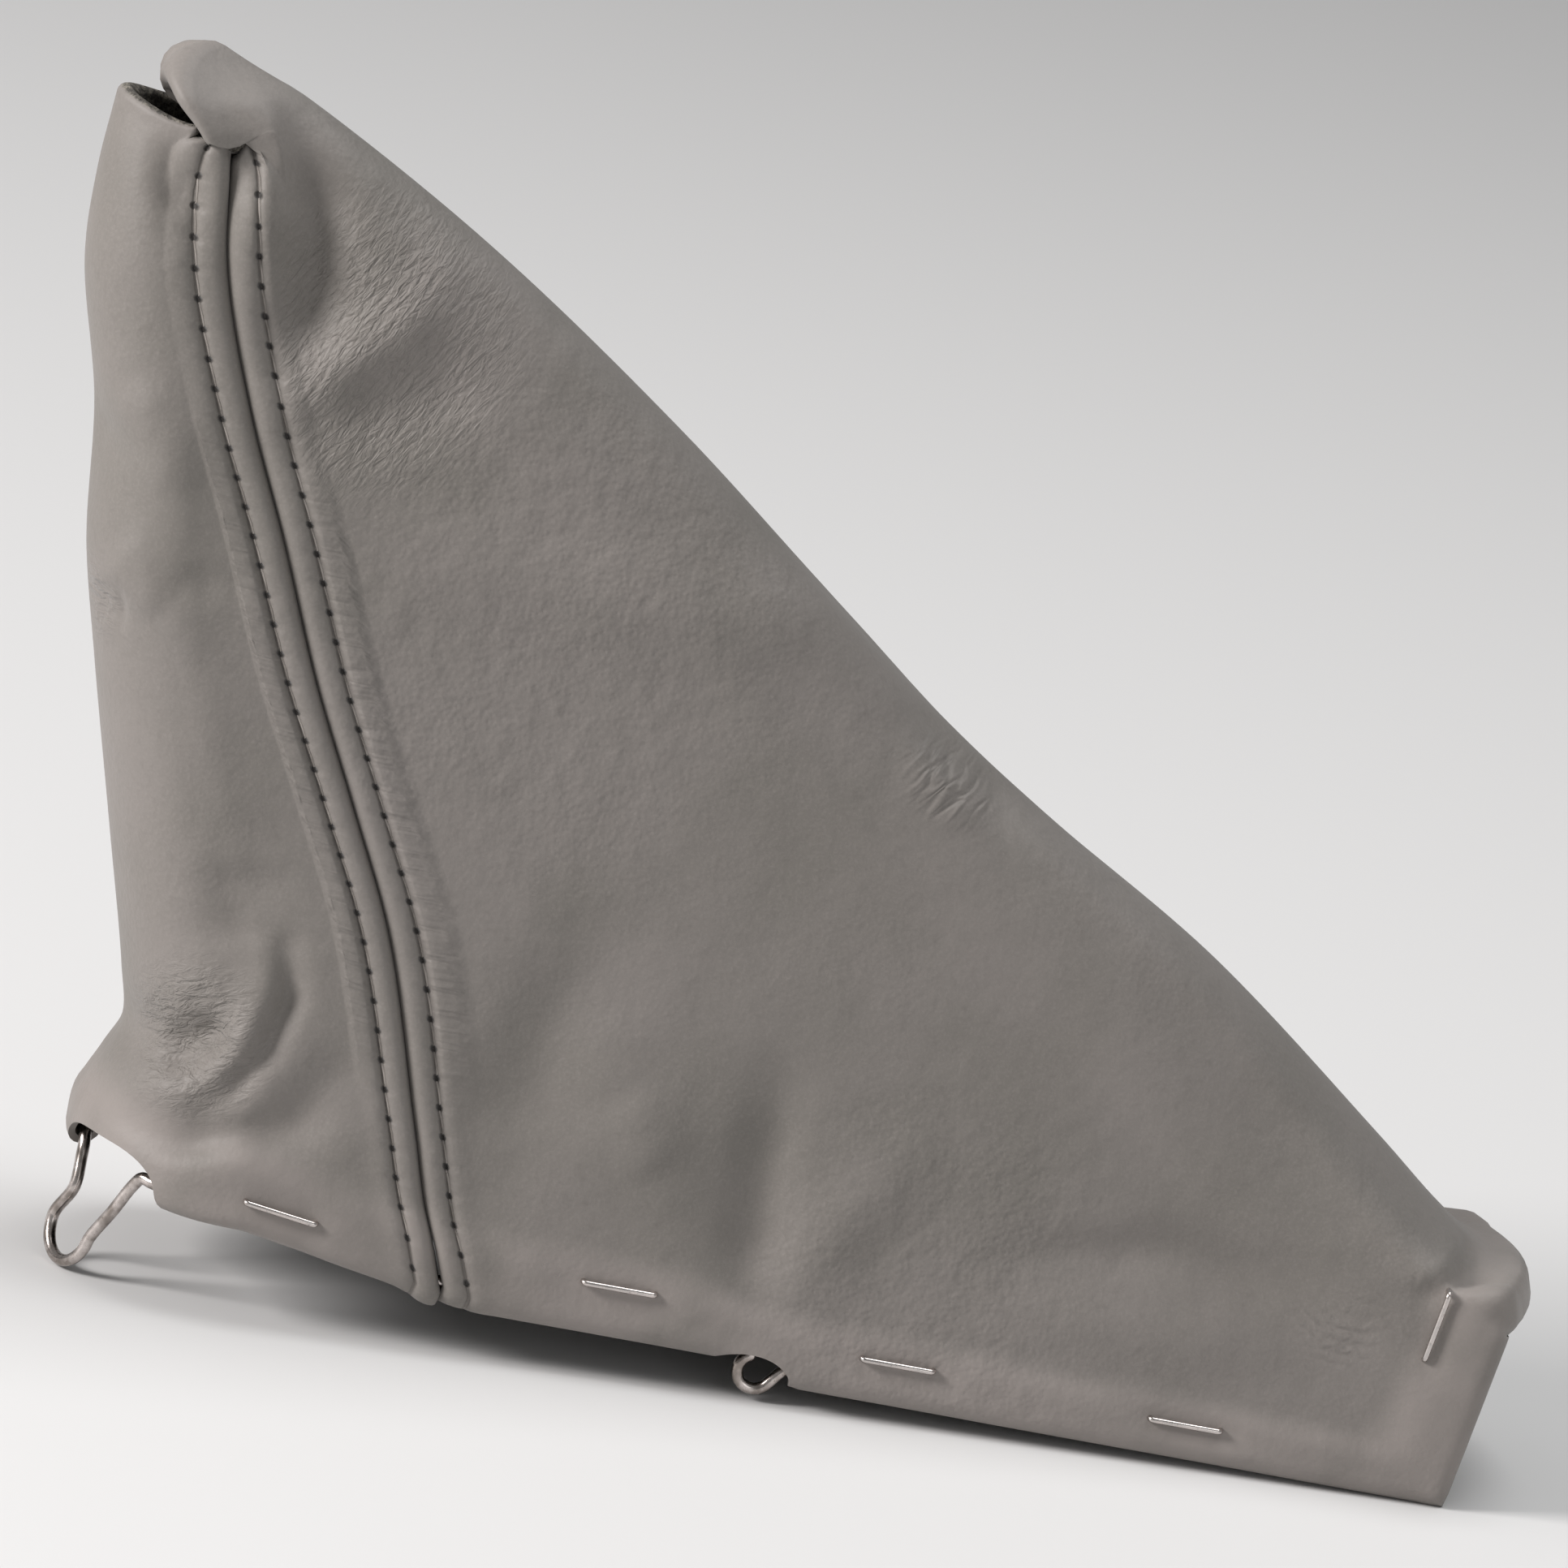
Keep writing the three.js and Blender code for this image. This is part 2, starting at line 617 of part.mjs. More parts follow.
// A panel is a row of strips, closed along both long edges and both ends.
function panelGeometry(strips) {
  const rings = strips.map((strip) => [
    ...strip.map(([grain]) => grain),
    ...strip.map(([, flesh]) => flesh).reverse(),
  ]);
  const positions = [];
  const triangle = (...corners) => corners.forEach((p) => positions.push(p.x, p.y, p.z));
  for (let i = 0; i + 1 < rings.length; i += 1) {
    rings[i].forEach((a, k) => {
      const next = (k + 1) % rings[i].length;
      triangle(a, rings[i + 1][next], rings[i][next]);
      triangle(a, rings[i + 1][k], rings[i + 1][next]);
    });
  }
  const cap = (ring, flip) => {
    const n = ring.length / 2;
    for (let k = 0; k + 1 < n; k += 1) {
      const quad = [ring[k], ring[k + 1], ring[2 * n - 2 - k], ring[2 * n - 1 - k]];
      if (flip) quad.reverse();
      triangle(quad[0], quad[1], quad[2]);
      triangle(quad[0], quad[2], quad[3]);
    }
  };
  cap(rings[0], false);
  cap(rings.at(-1), true);
  return new THREE.BufferGeometry().setAttribute(
    "position",
    new THREE.Float32BufferAttribute(positions, 3),
  );
}

function solidFrom(geometry) {
  const merged = mergeVertices(geometry.clone(), 1e-4);
  return new wasm.Manifold(
    new wasm.Mesh({
      numProp: 3,
      vertProperties: new Float32Array(merged.attributes.position.array),
      triVerts: new Uint32Array(merged.index.array),
    }),
  );
}

function geometryFrom(solid) {
  const mesh = solid.getMesh();
  return new THREE.BufferGeometry()
    .setAttribute("position", new THREE.BufferAttribute(mesh.vertProperties, 3))
    .setIndex(new THREE.BufferAttribute(mesh.triVerts, 1));
}

const flipY = (point) => vec(point.x, -point.y, point.z);
const mirrored = (strip) => strip.map((pair) => pair.map(flipY));

// Columns of half of a panel, from its seam edge to the middle of the bag. Each mark is
// a place on the base line, and the columns keep their share of the way as the bag
// narrows.
function halfPanel(marks, forward) {
  const seam0 = seamTable[0];
  const middle = forward ? 1 : 0;
  const edges = [seamGroove / 2, seamBand, seamBand + 1.8].map((away) => ({ away, part: 0 }));
  const parts = marks.map((share) => ({
    away: seamBand + 1.8,
    part: (share - seam0) / (middle - seam0),
  }));
  return [...edges, ...parts].map(({ away, part }) => {
    const shareAt = (t) => {
      const seam = readTable(seamTable, t);
      const edge = (away / readTable(girthTable, t)) * (forward ? 1 : -1);
      return mix(seam + edge, middle, part);
    };
    const seamAway = part > 0 ? seamBand * 3 : away;
    return leatherStrip(wallColumn(shareAt, seamAway, forward ? part : 0));
  });
}

const spread = (from, to, count) =>
  Array.from({ length: count }, (_, i) => mix(from, to, (i + 1) / count));

const bendShare = (1.2 * frameBend) / routeLength;

const stepShares = [
  shareNear(railPoint(eyeletX - eyeletApproach, eyeletRailHeight)),
  shareNear(railPoint(eyeletX + eyeletExit, eyeletRailHeight - railStepHeight)),
];

const mainHalf = halfPanel(
  [
    ...spread(seamTable[0], stepShares[0], 2),
    ...spread(stepShares[0], stepShares[1], 2),
    ...spread(stepShares[1], footShare - bendShare, mainColumns - 15),
    ...spread(footShare - bendShare, footShare + bendShare, 4),
    ...spread(footShare + bendShare, postShare - bendShare, 2),
    ...spread(postShare - bendShare, postShare + bendShare, 3),
    ...spread(postShare + bendShare, 1, 3),
  ],
  true,
);
const backHalf = halfPanel(spread(seamTable[0], 0, backColumns), false);
const wholePanel = (half) => [...half, ...half.slice(0, -1).reverse().map(mirrored)];

// Notches in the hem, where the frame's eyes and tongue come out.
function notch(place, out, width, height) {
  const shape = new THREE.CylinderGeometry(width / 2, width / 2, 5 * hemReach, 20);
  shape.scale(1, 1, height / (width / 2));
  const turn = new THREE.Quaternion().setFromUnitVectors(vec(0, 1, 0), out);
  shape.applyQuaternion(turn);
  shape.translate(place.x, place.y, place.z);
  shape.deleteAttribute("normal");
  shape.deleteAttribute("uv");
  return solidFrom(shape);
}

const tongueMiddle = (tongueFarAngle + tongueNearAngle) / 2;
const tongueNotchPlace = rearTurn(
  tongueMiddle + tongueNotchTurn,
  rearHeight(tongueMiddle) - hemReach - tongueNotchDrop,
);
const tongueOut = vec(tongueNotchPlace.x - rearArcX, tongueNotchPlace.y, 0).normalize();
const eyeletNotchPlace = railPoint(
  eyeletX + eyeletNotchShift,
  eyeletRailHeight - hemReach - eyeletNotchDrop,
);
const cuts = [
  notch(tongueNotchPlace, tongueOut, tongueNotchWidth, tongueNotchHeight),
  notch(eyeletNotchPlace, vec(0, -1, 0), eyeletNotchWidth, eyeletNotchHeight),
  notch(flipY(eyeletNotchPlace), vec(0, 1, 0), eyeletNotchWidth, eyeletNotchHeight),
];

// Staples: each sits across the hem at a share of the base line, on either side.
function stapleRoute([share, height]) {
  const away = (stapleCrown - stapleWire) / 2;
  const reach = height - hemReach;
  const at = (offset) => {
    const here = share + offset / routeLength;
    return wallAt(wallColumn((t) => mix(here, 0.6, t), 99), reach);
  };
  const ends = [at(-away), at(away)];
  const centre = at(0);
  const along = ends[1].point.clone().sub(ends[0].point).normalize();
  const out = centre.out.clone().addScaledVector(along, -centre.out.dot(along)).normalize();
  const middle = ends[0].point.clone().add(ends[1].point).multiplyScalar(0.5);
  const bulge = Math.max(0, centre.point.clone().sub(middle).dot(out));
  const outer = bulge + clearance + stapleWire / 2;
  const inner = -(2 * leather + 2 * clearance + stapleWire / 2);
  const place = (side, depth) =>
    middle.clone().addScaledVector(along, side).addScaledVector(out, depth);
  return roundCorners(
    [
      place(-away + stapleLeg, inner),
      place(-away, inner),
      place(-away, outer),
      place(away, outer),
      place(away, inner),
      place(away - stapleLeg, inner),
    ],
    stapleWire * 0.7,
    1,
  );
}

const nearStaples = railStaples.map(([x, height]) => {
  const z = mix(middleRailHeight, frontRailHeight, (x - middleRailX) / (postX - middleRailX));
  return [shareNear(railPoint(x, z)), height];
});
nearStaples.push([shareNear(postTop.clone().setZ(frontPostStaple)), frontStapleAway]);
const farStaples = [
  ...nearStaples,
  [shareNear(rearTurn(rearStapleAngle, rearWireHeight)), rearStapleHeight],
];
const stapleRoutes = [
  ...nearStaples.map((spot, i) => ["staple_near_" + (i + 1), stapleRoute(spot)]),
  ...farStaples.map((spot, i) => ["staple_far_" + (i + 1), stapleRoute(spot).map(flipY)]),
];

// Frame wire: far half from the middle of the crossbar to the rear, then the near half.
const nearHalf = halfFrame(tongueRear(), true);
const farHalf = halfFrame(plainRear, true).map(flipY).reverse();
const wireEnd = (point, side) => point.clone().setY(side * frameJoint / 2);
const frameRoute = [
  wireEnd(farHalf[0], 1),
  ...farHalf.slice(1, -1),
  ...nearHalf.slice(0, -1),
  wireEnd(nearHalf.at(-1), -1),
];

const steel = { color: 0xb9b6b2, roughness: 0.28, metalness: 1 };
const hide = { color: 0x7b7571, roughness: 0.62, metalness: 0 };
const boot = new THREE.Group();

function addMesh(name, geometry, finish) {
  const shaded = geometry.clone();
  shaded.computeVertexNormals();
  const mesh = new THREE.Mesh(shaded, new THREE.MeshStandardMaterial(finish));
  mesh.name = name;
  boot.add(mesh);
}

const stapleRooms = stapleRoutes.map(([, route]) =>
  solidFrom(wireAlong(route, stapleWire + 2 * wireSlack, 6)),
);

function cutPanel(strips) {
  let panel = solidFrom(panelGeometry(strips));
  for (const cut of [...cuts, ...stapleRooms]) panel = panel.subtract(cut);
  return geometryFrom(panel);
}

addMesh("main_panel", cutPanel(wholePanel(mainHalf)), hide);
addMesh("back_panel", cutPanel(wholePanel(backHalf).reverse()), hide);
addMesh("wire_frame", wireAlong(frameRoute, wireDiameter, 8), steel);
stapleRoutes.forEach(([name, route]) => addMesh(name, wireAlong(route, stapleWire, 6), steel));

const extent = new THREE.Box3().setFromObject(boot);
const centre = extent.getCenter(vec(0, 0, 0));
boot.position.set(-centre.x, -centre.y, -extent.min.z);

export default boot;
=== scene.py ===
import math

import bpy
import numpy as np
from mathutils import Matrix, Vector


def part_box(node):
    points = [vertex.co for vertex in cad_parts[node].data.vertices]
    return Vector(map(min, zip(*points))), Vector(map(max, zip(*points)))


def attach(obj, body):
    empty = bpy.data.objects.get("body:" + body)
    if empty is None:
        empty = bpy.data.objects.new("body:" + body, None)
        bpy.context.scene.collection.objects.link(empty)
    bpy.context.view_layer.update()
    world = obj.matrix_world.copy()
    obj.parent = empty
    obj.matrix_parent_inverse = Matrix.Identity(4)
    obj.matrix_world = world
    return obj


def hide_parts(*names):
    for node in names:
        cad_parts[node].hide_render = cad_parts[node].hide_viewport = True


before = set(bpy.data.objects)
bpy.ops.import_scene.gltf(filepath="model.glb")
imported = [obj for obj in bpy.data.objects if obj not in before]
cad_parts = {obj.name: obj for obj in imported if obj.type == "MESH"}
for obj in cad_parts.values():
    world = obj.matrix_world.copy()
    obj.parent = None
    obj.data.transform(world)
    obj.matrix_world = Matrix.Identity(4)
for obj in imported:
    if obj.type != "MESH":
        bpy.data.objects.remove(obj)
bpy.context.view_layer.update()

MM = 0.001

# Stock
LEATHER = 1.2
LAYER_GAP = 0.3
WIRE = 2.0
HEM_SLACK = 0.8
STAPLE_WIRE = 1.0
STAPLE_CROWN = 12.7
STAPLE_LEG = 3.8

# Wire frame, to the middle of the wire
REAR_RADIUS = 27.0
REAR_X = -198.0
FRONT_HALF = 21.0
REAR_HEIGHT = 20.6
REAR_RAIL = 18.2
MIDDLE_RAIL = (-160.0, 10.6)
EYELET_X = -113.3
EYELET_RADIUS = 2.9
EYELET_APPROACH = 5.0
EYELET_EXIT = 7.0
EYELET_NECK = 2.2
EYELET_NECK_DROP = 0.8
EYELET_RETURN = 4.4
EYELET_FOOT = 0.8
EYELET_TURN = range(115, 316, 10)
RAIL_STEP = 3.4
RAIL_BEND = 30.0
RAIL_START = (8.0, 1.6)
FRONT_RAIL = 2.5
POST_X = -1.2
POST = 29.0
POST_LEAN = 4.4
CROSSBAR_BOW = 5.4
FRAME_BEND = 4.0
FRAME_JOINT = 0.5
RAIL_FALL = 3.4
BEND_STEPS = 8
EYELET_RAIL = FRONT_RAIL + RAIL_FALL + RAIL_STEP

# Wire tongue
TONGUE_FAR = 11.0
TONGUE_NEAR = 52.0
TONGUE_WIDTH = 11.4
TONGUE_SHIFT = 3.8
TONGUE_LEAN = 0.26

# Hem, mouth and seams
HEM_FLAP = 12.0
HEM_POCKET = 7.0
CORNER_FLAP = 2.6
RIM_FLAP = 8.0
SEAM_EDGE = -0.06
SEAM_ROUND = 2.2
SEAM_DEPTH = 1.7
SEAM_LOBE = 1.2
LOBE_FROM, LOBE_FADE = 1.0, 7.0
SEAM_CROWN = 0.6
SEAM_CROWN_POWER = 0.8
SEAM_LOW = 0.6
STITCH_DRAW = 0.5
STITCH_DRAW_WIDTH = 0.6
BESIDE_RISE = 0.35
BESIDE_AWAY = 2.2
BESIDE_WIDTH = 1.6
STITCH_AWAY = 4.6
STITCH_PITCH = 4.8
THREAD = 0.4
SEAM_COLUMNS_END = 8.4
STAPLE_COLUMN_END = 0.6
DIMPLE_RADIUS = 4.0
DIMPLE_DEPTH = 0.9
RAIL_STAPLES = ((-195.5, 5.9), (-136.4, 9.2), (-87.2, 9.2), (-38.3, 9.2))
POST_STAPLE = 27.2
POST_STAPLE_HEIGHT = 12.4
REAR_STAPLE_HEIGHT = 9.2
POST_FLAP = 15.0
RIM_ROLL = 7.6
REAR_STAPLE = 34.0

# Where the hem turns outwards from the posts to the crossbar, and how far up and out it then faces
OUT_TURN_IN = 5.0
OUT_TURN_UP = 8.0
CROSSBAR_OUT = 0.95
CROSSBAR_UP = 0.3

# The hem's corners at the posts' feet: half the angle that they turn, and how sharply they are folded
CORNER_HALF_TURN = 42
CORNER_SHARE = 0.8

# Outline of the bag: x, z
REAR_LINE = [
    (-228, 20.6), (-227.2, 27), (-224.4, 33), (-222, 39), (-223.6, 48), (-229.2, 70),
    (-236.4, 98), (-240.6, 116), (-243.2, 139), (-248.4, 161), (-248.8, 175), (-247.8, 188),
]
FRONT_LINE = [
    (11.4, 32.4), (8.4, 35.4), (2.5, 37.6), (-4, 41.8), (-18, 53.2), (-50, 77.8), (-80, 96),
    (-104, 112.2), (-150, 148.6), (-187, 174.2), (-220, 192.7), (-232.4, 197.9),
]
SEAM_LINE = [
    (-164.2, 9), (-169.8, 22.5), (-174.4, 37.4), (-183.3, 65.7), (-192.4, 85), (-201.7, 104),
    (-210.7, 125.6), (-218.9, 144), (-226.2, 165), (-229.4, 186),
]
TOP_HALF = 12.2
BACK_WIDTH_POWER = 0.9
BACK_DEPTH_POWER = 0.7
BACK_ROUND = 10.0
RIDGE_WIDTH_POWER = 0.6
RIDGE_ROUND_LOW = 6.0
RIDGE_ROUND = 26.0
RIDGE_ROUND_RISE = 6.0
QUARTER_OVAL = 1.125
SETTLE = 2.0
SETTLE_FRONT = 5.0
SETTLE_FROM, SETTLE_FADE = 0.82, 0.18
MOUTH_SKEW = 8.0
MOUTH_DIP = 6.0
MOUTH_POWER = 5

# How far the mouth edge is drawn down at the seam, and where the lip leans out over it
MOUTH_LAP = 9.6
BACK_LAP = 2.8
LAP_PART = 0.1
MOUTH_LAP_OUT = -1.3
LAP_OUT_PART = 0.25
LAP_OUT_FADE = 14.0
LIP_LEVEL = -12
LIP_DROP = 16.0
LIP_AWAY, LIP_AWAY_FADE = 5.4, 3.0
LIP_PART = 0.12
LIP_OUT = np.array([-0.25, -0.9, 0.35])
LIP_OUT_PART, LIP_OUT_FADE = 0.4, 0.6

RIDGE_HALF = 8.0
RIDGE_CLEAR = 6.0
RISE_FADE = 10.0
FOLD_END = 0.4
FOLD_TAPER = 0.3

WIRE_RADIUS = WIRE / 2
CHANNEL = WIRE + 2 * HEM_SLACK
HEM_REACH = WIRE_RADIUS + HEM_SLACK + LEATHER
POST_TOP = FRONT_RAIL + POST

# The middle of the crossbar is the wire's furthest point along X and the tongue's tip its lowest, so they tie
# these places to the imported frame.
CROSSBAR_FRONT = POST_X + POST_LEAN + CROSSBAR_BOW + WIRE_RADIUS
WIRE_LOW, WIRE_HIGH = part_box("wire_frame")
SHIFT = np.array([WIRE_HIGH.x / MM - CROSSBAR_FRONT, 0, WIRE_LOW.z / MM])

# Rim of the front panel's lip, which leans back over the seam's top end, from the seam to the ridge
LIP_LINE = [
    (-229.5, -13.8, 182.5), (-231.8, -13.9, 185), (-233, -13.7, 187), (-235.8, -12.4, 190.8),
    (-236.8, -8.4, 194.2), (-235.4, -3.6, 196.8), (-232.4, 0, 197.9),
]

# Soft folds: a line on the side view, half width, and how far the leather stands out or sinks in
FOLDS = [
    (((-233, 199), (-225, 185), (-222, 174), (-220.5, 164)), 4.5, 2.6),
    (((-220, 187), (-214.5, 177), (-212.5, 166), (-212.5, 153)), 5, -3.6),
    (((-214.5, 147), (-205, 155), (-198, 161), (-193, 169)), 4.5, 1.7),
    (((-207, 144.5), (-196, 149), (-184, 156)), 6, -1.3),
    (((-206, 130), (-184, 126), (-157, 123.5), (-126, 123.5), (-109, 116)), 8, 1.3),
    (((-159, 34), (-156, 55), (-150, 69)), 7, -1.5),
    (((-143, 47), (-133, 35)), 7, 1.8),
    (((-118, 51), (-118, 33), (-116.5, 17)), 5, -2.4),
    (((-108.5, 20), (-105, 30), (-95, 43)), 5.5, 1.2),
    (((-75, 30), (-49, 34.6), (-30, 32.6), (-18, 27.6)), 4, -1.5),
    (((-73, 20.5), (-54, 20.5), (-33, 21.5)), 5, 0.9),
    (((-107, 113), (-95, 103.5), (-86, 97)), 3.5, -1.2),
    (((-12, 34), (-5, 36), (3.5, 41)), 1.8, -1.0),
    (((-12, 36.5), (-4, 39)), 1.8, 0.7),
    (((-238.5, 186), (-236.4, 179), (-235.3, 172)), 3.6, -3.0),
    (((-240, 146), (-232, 137.5), (-228, 128)), 5, 1.5),
    (((-243, 139), (-238.5, 130)), 4, -1.0),
    (((-238, 118), (-226, 112)), 6, 1.6),
    (((-238.5, 109), (-232, 109)), 3.5, -1.4),
    (((-231, 115.5), (-218, 117)), 3, -0.8),
    (((-209, 75), (-206, 59)), 7, -2.0),
    (((-199, 62), (-197.4, 54), (-199.8, 45.5), (-204.5, 37.4), (-208.2, 33.6)), 2.3, -2.6),
    (((-201.4, 54.6), (-204, 44), (-211, 36.5), (-219.4, 33.3)), 4, 2.9),
    (((-217, 42), (-211, 41), (-206, 48)), 4.5, -4.4),
    (((-215.5, 25.8), (-201.5, 30), (-193.5, 34), (-188.4, 42.3)), 4.5, -2.3),
]

# The far side has folds of its own: the same families, moved along and a little softer
FAR_MOVE = (8.0, -7.0)
FAR_FOLDS = [
    (tuple((x + FAR_MOVE[0], z + FAR_MOVE[1]) for x, z in points), width * 1.2, rise * 0.75)
    for points, width, rise in FOLDS
]


def smooth(t):
    """0 below 0 and 1 above 1, with a soft start and end between them."""
    t = np.clip(t, 0.0, 1.0)
    return t * t * (3.0 - 2.0 * t)


def mix(a, b, t):
    return a + (b - a) * t


def unit(v):
    return v / np.maximum(np.linalg.norm(v, axis=-1, keepdims=True), 1e-9)


class Line:
    """A smooth line through a few points, read by its share of the length."""

    def __init__(self, points, steps=60):
        p = np.array(points, float)
        p = np.vstack([2 * p[0] - p[1], p, 2 * p[-1] - p[-2]])
        out = []
        for p0, p1, p2, p3 in zip(p, p[1:], p[2:], p[3:]):
            pairs = ((p0, p1), (p1, p2), (p2, p3))
            d0, d1, d2 = (max(np.linalg.norm(b - a), 1e-4) ** 0.5 for a, b in pairs)
            t1 = ((p1 - p0) / d0 - (p2 - p0) / (d0 + d1) + (p2 - p1) / d1) * d1
            t2 = ((p2 - p1) / d1 - (p3 - p1) / (d1 + d2) + (p3 - p2) / d2) * d1
            u = np.linspace(0, 1, steps, endpoint=False)[:, None]
            c2 = -3 * p1 + 3 * p2 - 2 * t1 - t2
            c3 = 2 * p1 - 2 * p2 + t1 + t2
            out.append(p1 + t1 * u + c2 * u**2 + c3 * u**3)
        self.points = np.vstack([*out, p[-2][None]])
        self.length = run_of(self.points)

    def at(self, share):
        want = np.asarray(share) * self.length[-1]
        return tuple(np.interp(want, self.length, column) for column in self.points.T)


def run_of(points):
    """Length along a chain of points, up to each of them."""
    return np.concatenate([[0], np.cumsum(np.linalg.norm(np.diff(points, axis=0), axis=1))])


def round_corners(points, radius, steps):
    """The same chain of points with a bend of about this radius at each corner."""
    points = [np.array(p, float) for p in points]
    out = [points[0]]
    for a, b, c in zip(points, points[1:], points[2:]):
        before, after = a - b, c - b
        long_before, long_after = np.linalg.norm(before), np.linalg.norm(after)
        cosine = before @ after / long_before / long_after
        turn = math.pi - math.acos(np.clip(cosine, -1, 1))
        cut = min(radius * math.tan(turn / 2), long_before / 2.1, long_after / 2.1)
        start = b + before / long_before * cut
        end = b + after / long_after * cut
        for u in np.linspace(0, 1, steps + 1):
            out.append((1 - u) ** 2 * start + 2 * u * (1 - u) * b + u * u * end)
    out.append(points[-1])
    return out


def rear_turn(degrees, height):
    """A place on the rear arc: 0 degrees is the rear end and 90 the start of the near rail."""
    a = math.radians(degrees)
    return np.array([REAR_X - REAR_RADIUS * math.cos(a), -REAR_RADIUS * math.sin(a), height])


def rear_height(degrees):
    return mix(REAR_HEIGHT, REAR_RAIL, float(smooth(degrees / 90)))


def rail(x, z):
    """A place on the near rail, which comes closer to the middle towards the front."""
    return np.array([x, -mix(REAR_RADIUS, FRONT_HALF, (x - REAR_X) / -REAR_X), z])


FOOT_CORNER = np.array([POST_X, -FRONT_HALF, FRONT_RAIL])
POST_CORNER = np.array([POST_X + POST_LEAN, -FRONT_HALF, POST_TOP])


def half_frame(rear, eyelet):
    """Middle of the wire round half of the frame, from the rear to the middle of the crossbar."""
    front = EYELET_RAIL - RAIL_STEP
    stops = [
        rear_turn(90, REAR_RAIL),
        rail(REAR_X + RAIL_START[0], REAR_RAIL - RAIL_START[1]),
        rail(*MIDDLE_RAIL),
        rail(EYELET_X - EYELET_APPROACH, EYELET_RAIL),
    ]
    bent = round_corners(stops, RAIL_BEND, BEND_STEPS)[1:]
    if eyelet:
        middle = EYELET_FOOT + WIRE_RADIUS + EYELET_RADIUS
        bent.append(rail(EYELET_X - EYELET_NECK, EYELET_RAIL - EYELET_NECK_DROP))
        bent.append(rail(EYELET_X - EYELET_NECK / 2, EYELET_RAIL - 2 * EYELET_NECK_DROP))
        for degrees in EYELET_TURN:
            a = math.radians(degrees)
            bent.append(rail(EYELET_X + EYELET_RADIUS * math.cos(a), middle + EYELET_RADIUS * math.sin(a)))
        bent.append(rail(EYELET_X + EYELET_RETURN, front - LAYER_GAP))
    corners = [rail(EYELET_X + EYELET_EXIT, front), rail(POST_X, FRONT_RAIL), POST_CORNER]
    for share in (0.2, 0.4, 0.6, 0.8, 1.0):
        bowed = POST_X + POST_LEAN + CROSSBAR_BOW * math.sin(share * math.pi / 2)
        corners.append((bowed, -FRONT_HALF * (1 - share), POST_TOP))
    return [*rear, *bent, *round_corners(corners, FRAME_BEND, BEND_STEPS)]


def without_repeats(points):
    points = np.array(points, float)
    keep = np.linalg.norm(np.diff(points, axis=0), axis=1) > 1e-6
    return points[np.concatenate([[True], keep])]


PLAIN_REAR = [rear_turn(a, rear_height(a)) for a in range(0, 91, 5)]
ROUTE = without_repeats(half_frame(PLAIN_REAR, False))
ROUTE_RUN = run_of(ROUTE)
ROUTE_LENGTH = ROUTE_RUN[-1]
REAR_CURVE = Line(REAR_LINE)
FRONT_CURVE = Line(FRONT_LINE)
SEAM_CURVE = Line(SEAM_LINE)
LIP_CURVE = Line(LIP_LINE)


def on_route(share):
    """Places on the base line, from the rear end (0) to the middle of the crossbar (1)."""
    want = np.clip(share, 0, 1) * ROUTE_LENGTH
    return np.stack([np.interp(want, ROUTE_RUN, column) for column in ROUTE.T], -1)


def outward(share):
    """Direction square to the wire and away from the bag, for each share of the base line."""
    p = on_route(share)
    x, y, z = p[..., 0], p[..., 1], p[..., 2]
    radial = np.stack([x - REAR_X, y, 0 * x], -1)
    turned = smooth((FRONT_HALF + y) / OUT_TURN_IN) * smooth((z - POST_TOP + OUT_TURN_UP) / OUT_TURN_UP)
    front = np.stack([CROSSBAR_OUT * turned, turned - 1, CROSSBAR_UP * turned], -1)
    return unit(np.where((x < REAR_X)[..., None], radial, front))


def level_point(share, t):
    """Half of a rounded wedge at height share t, from the back (0) to the front ridge (1)."""
    bx, bz = REAR_CURVE.at(t)
    fx, fz = FRONT_CURVE.at(t)
    length = np.hypot(fx - bx, fz - bz)
    back_width = mix(REAR_RADIUS + HEM_REACH, TOP_HALF, t**BACK_WIDTH_POWER)
    ridge_width = mix(FRONT_HALF + HEM_REACH, TOP_HALF, t**RIDGE_WIDTH_POWER)
    back_depth = np.minimum(mix(REAR_RADIUS, BACK_ROUND, t**BACK_DEPTH_POWER), length * 0.5)
    rounding = mix(RIDGE_ROUND_LOW, RIDGE_ROUND, smooth(t * RIDGE_ROUND_RISE))
    ridge_depth = np.minimum(rounding, length * 0.5)
    back_length = QUARTER_OVAL * np.hypot(back_width, back_depth)
    ridge_length = QUARTER_OVAL * np.hypot(ridge_width, ridge_depth)
    side_length = length - back_depth - ridge_depth
    run = share * (back_length + side_length + ridge_length)
    a = np.clip(run / back_length, 0, 1) * math.pi / 2
    b = np.clip((run - back_length) / np.maximum(side_length, 1e-6), 0, 1)
    c = np.clip((run - back_length - side_length) / ridge_length, 0, 1) * math.pi / 2
    along = back_depth * (1 - np.cos(a)) + side_length * b + ridge_depth * np.sin(c)
    side = mix(back_width, ridge_width, b)
    across = np.where(run < back_length, back_width * np.sin(a), side)
    across = np.where(run > back_length + side_length, ridge_width * np.cos(c), across)
    return np.stack([bx + (fx - bx) * along / length, -across, bz + (fz - bz) * along / length], -1)


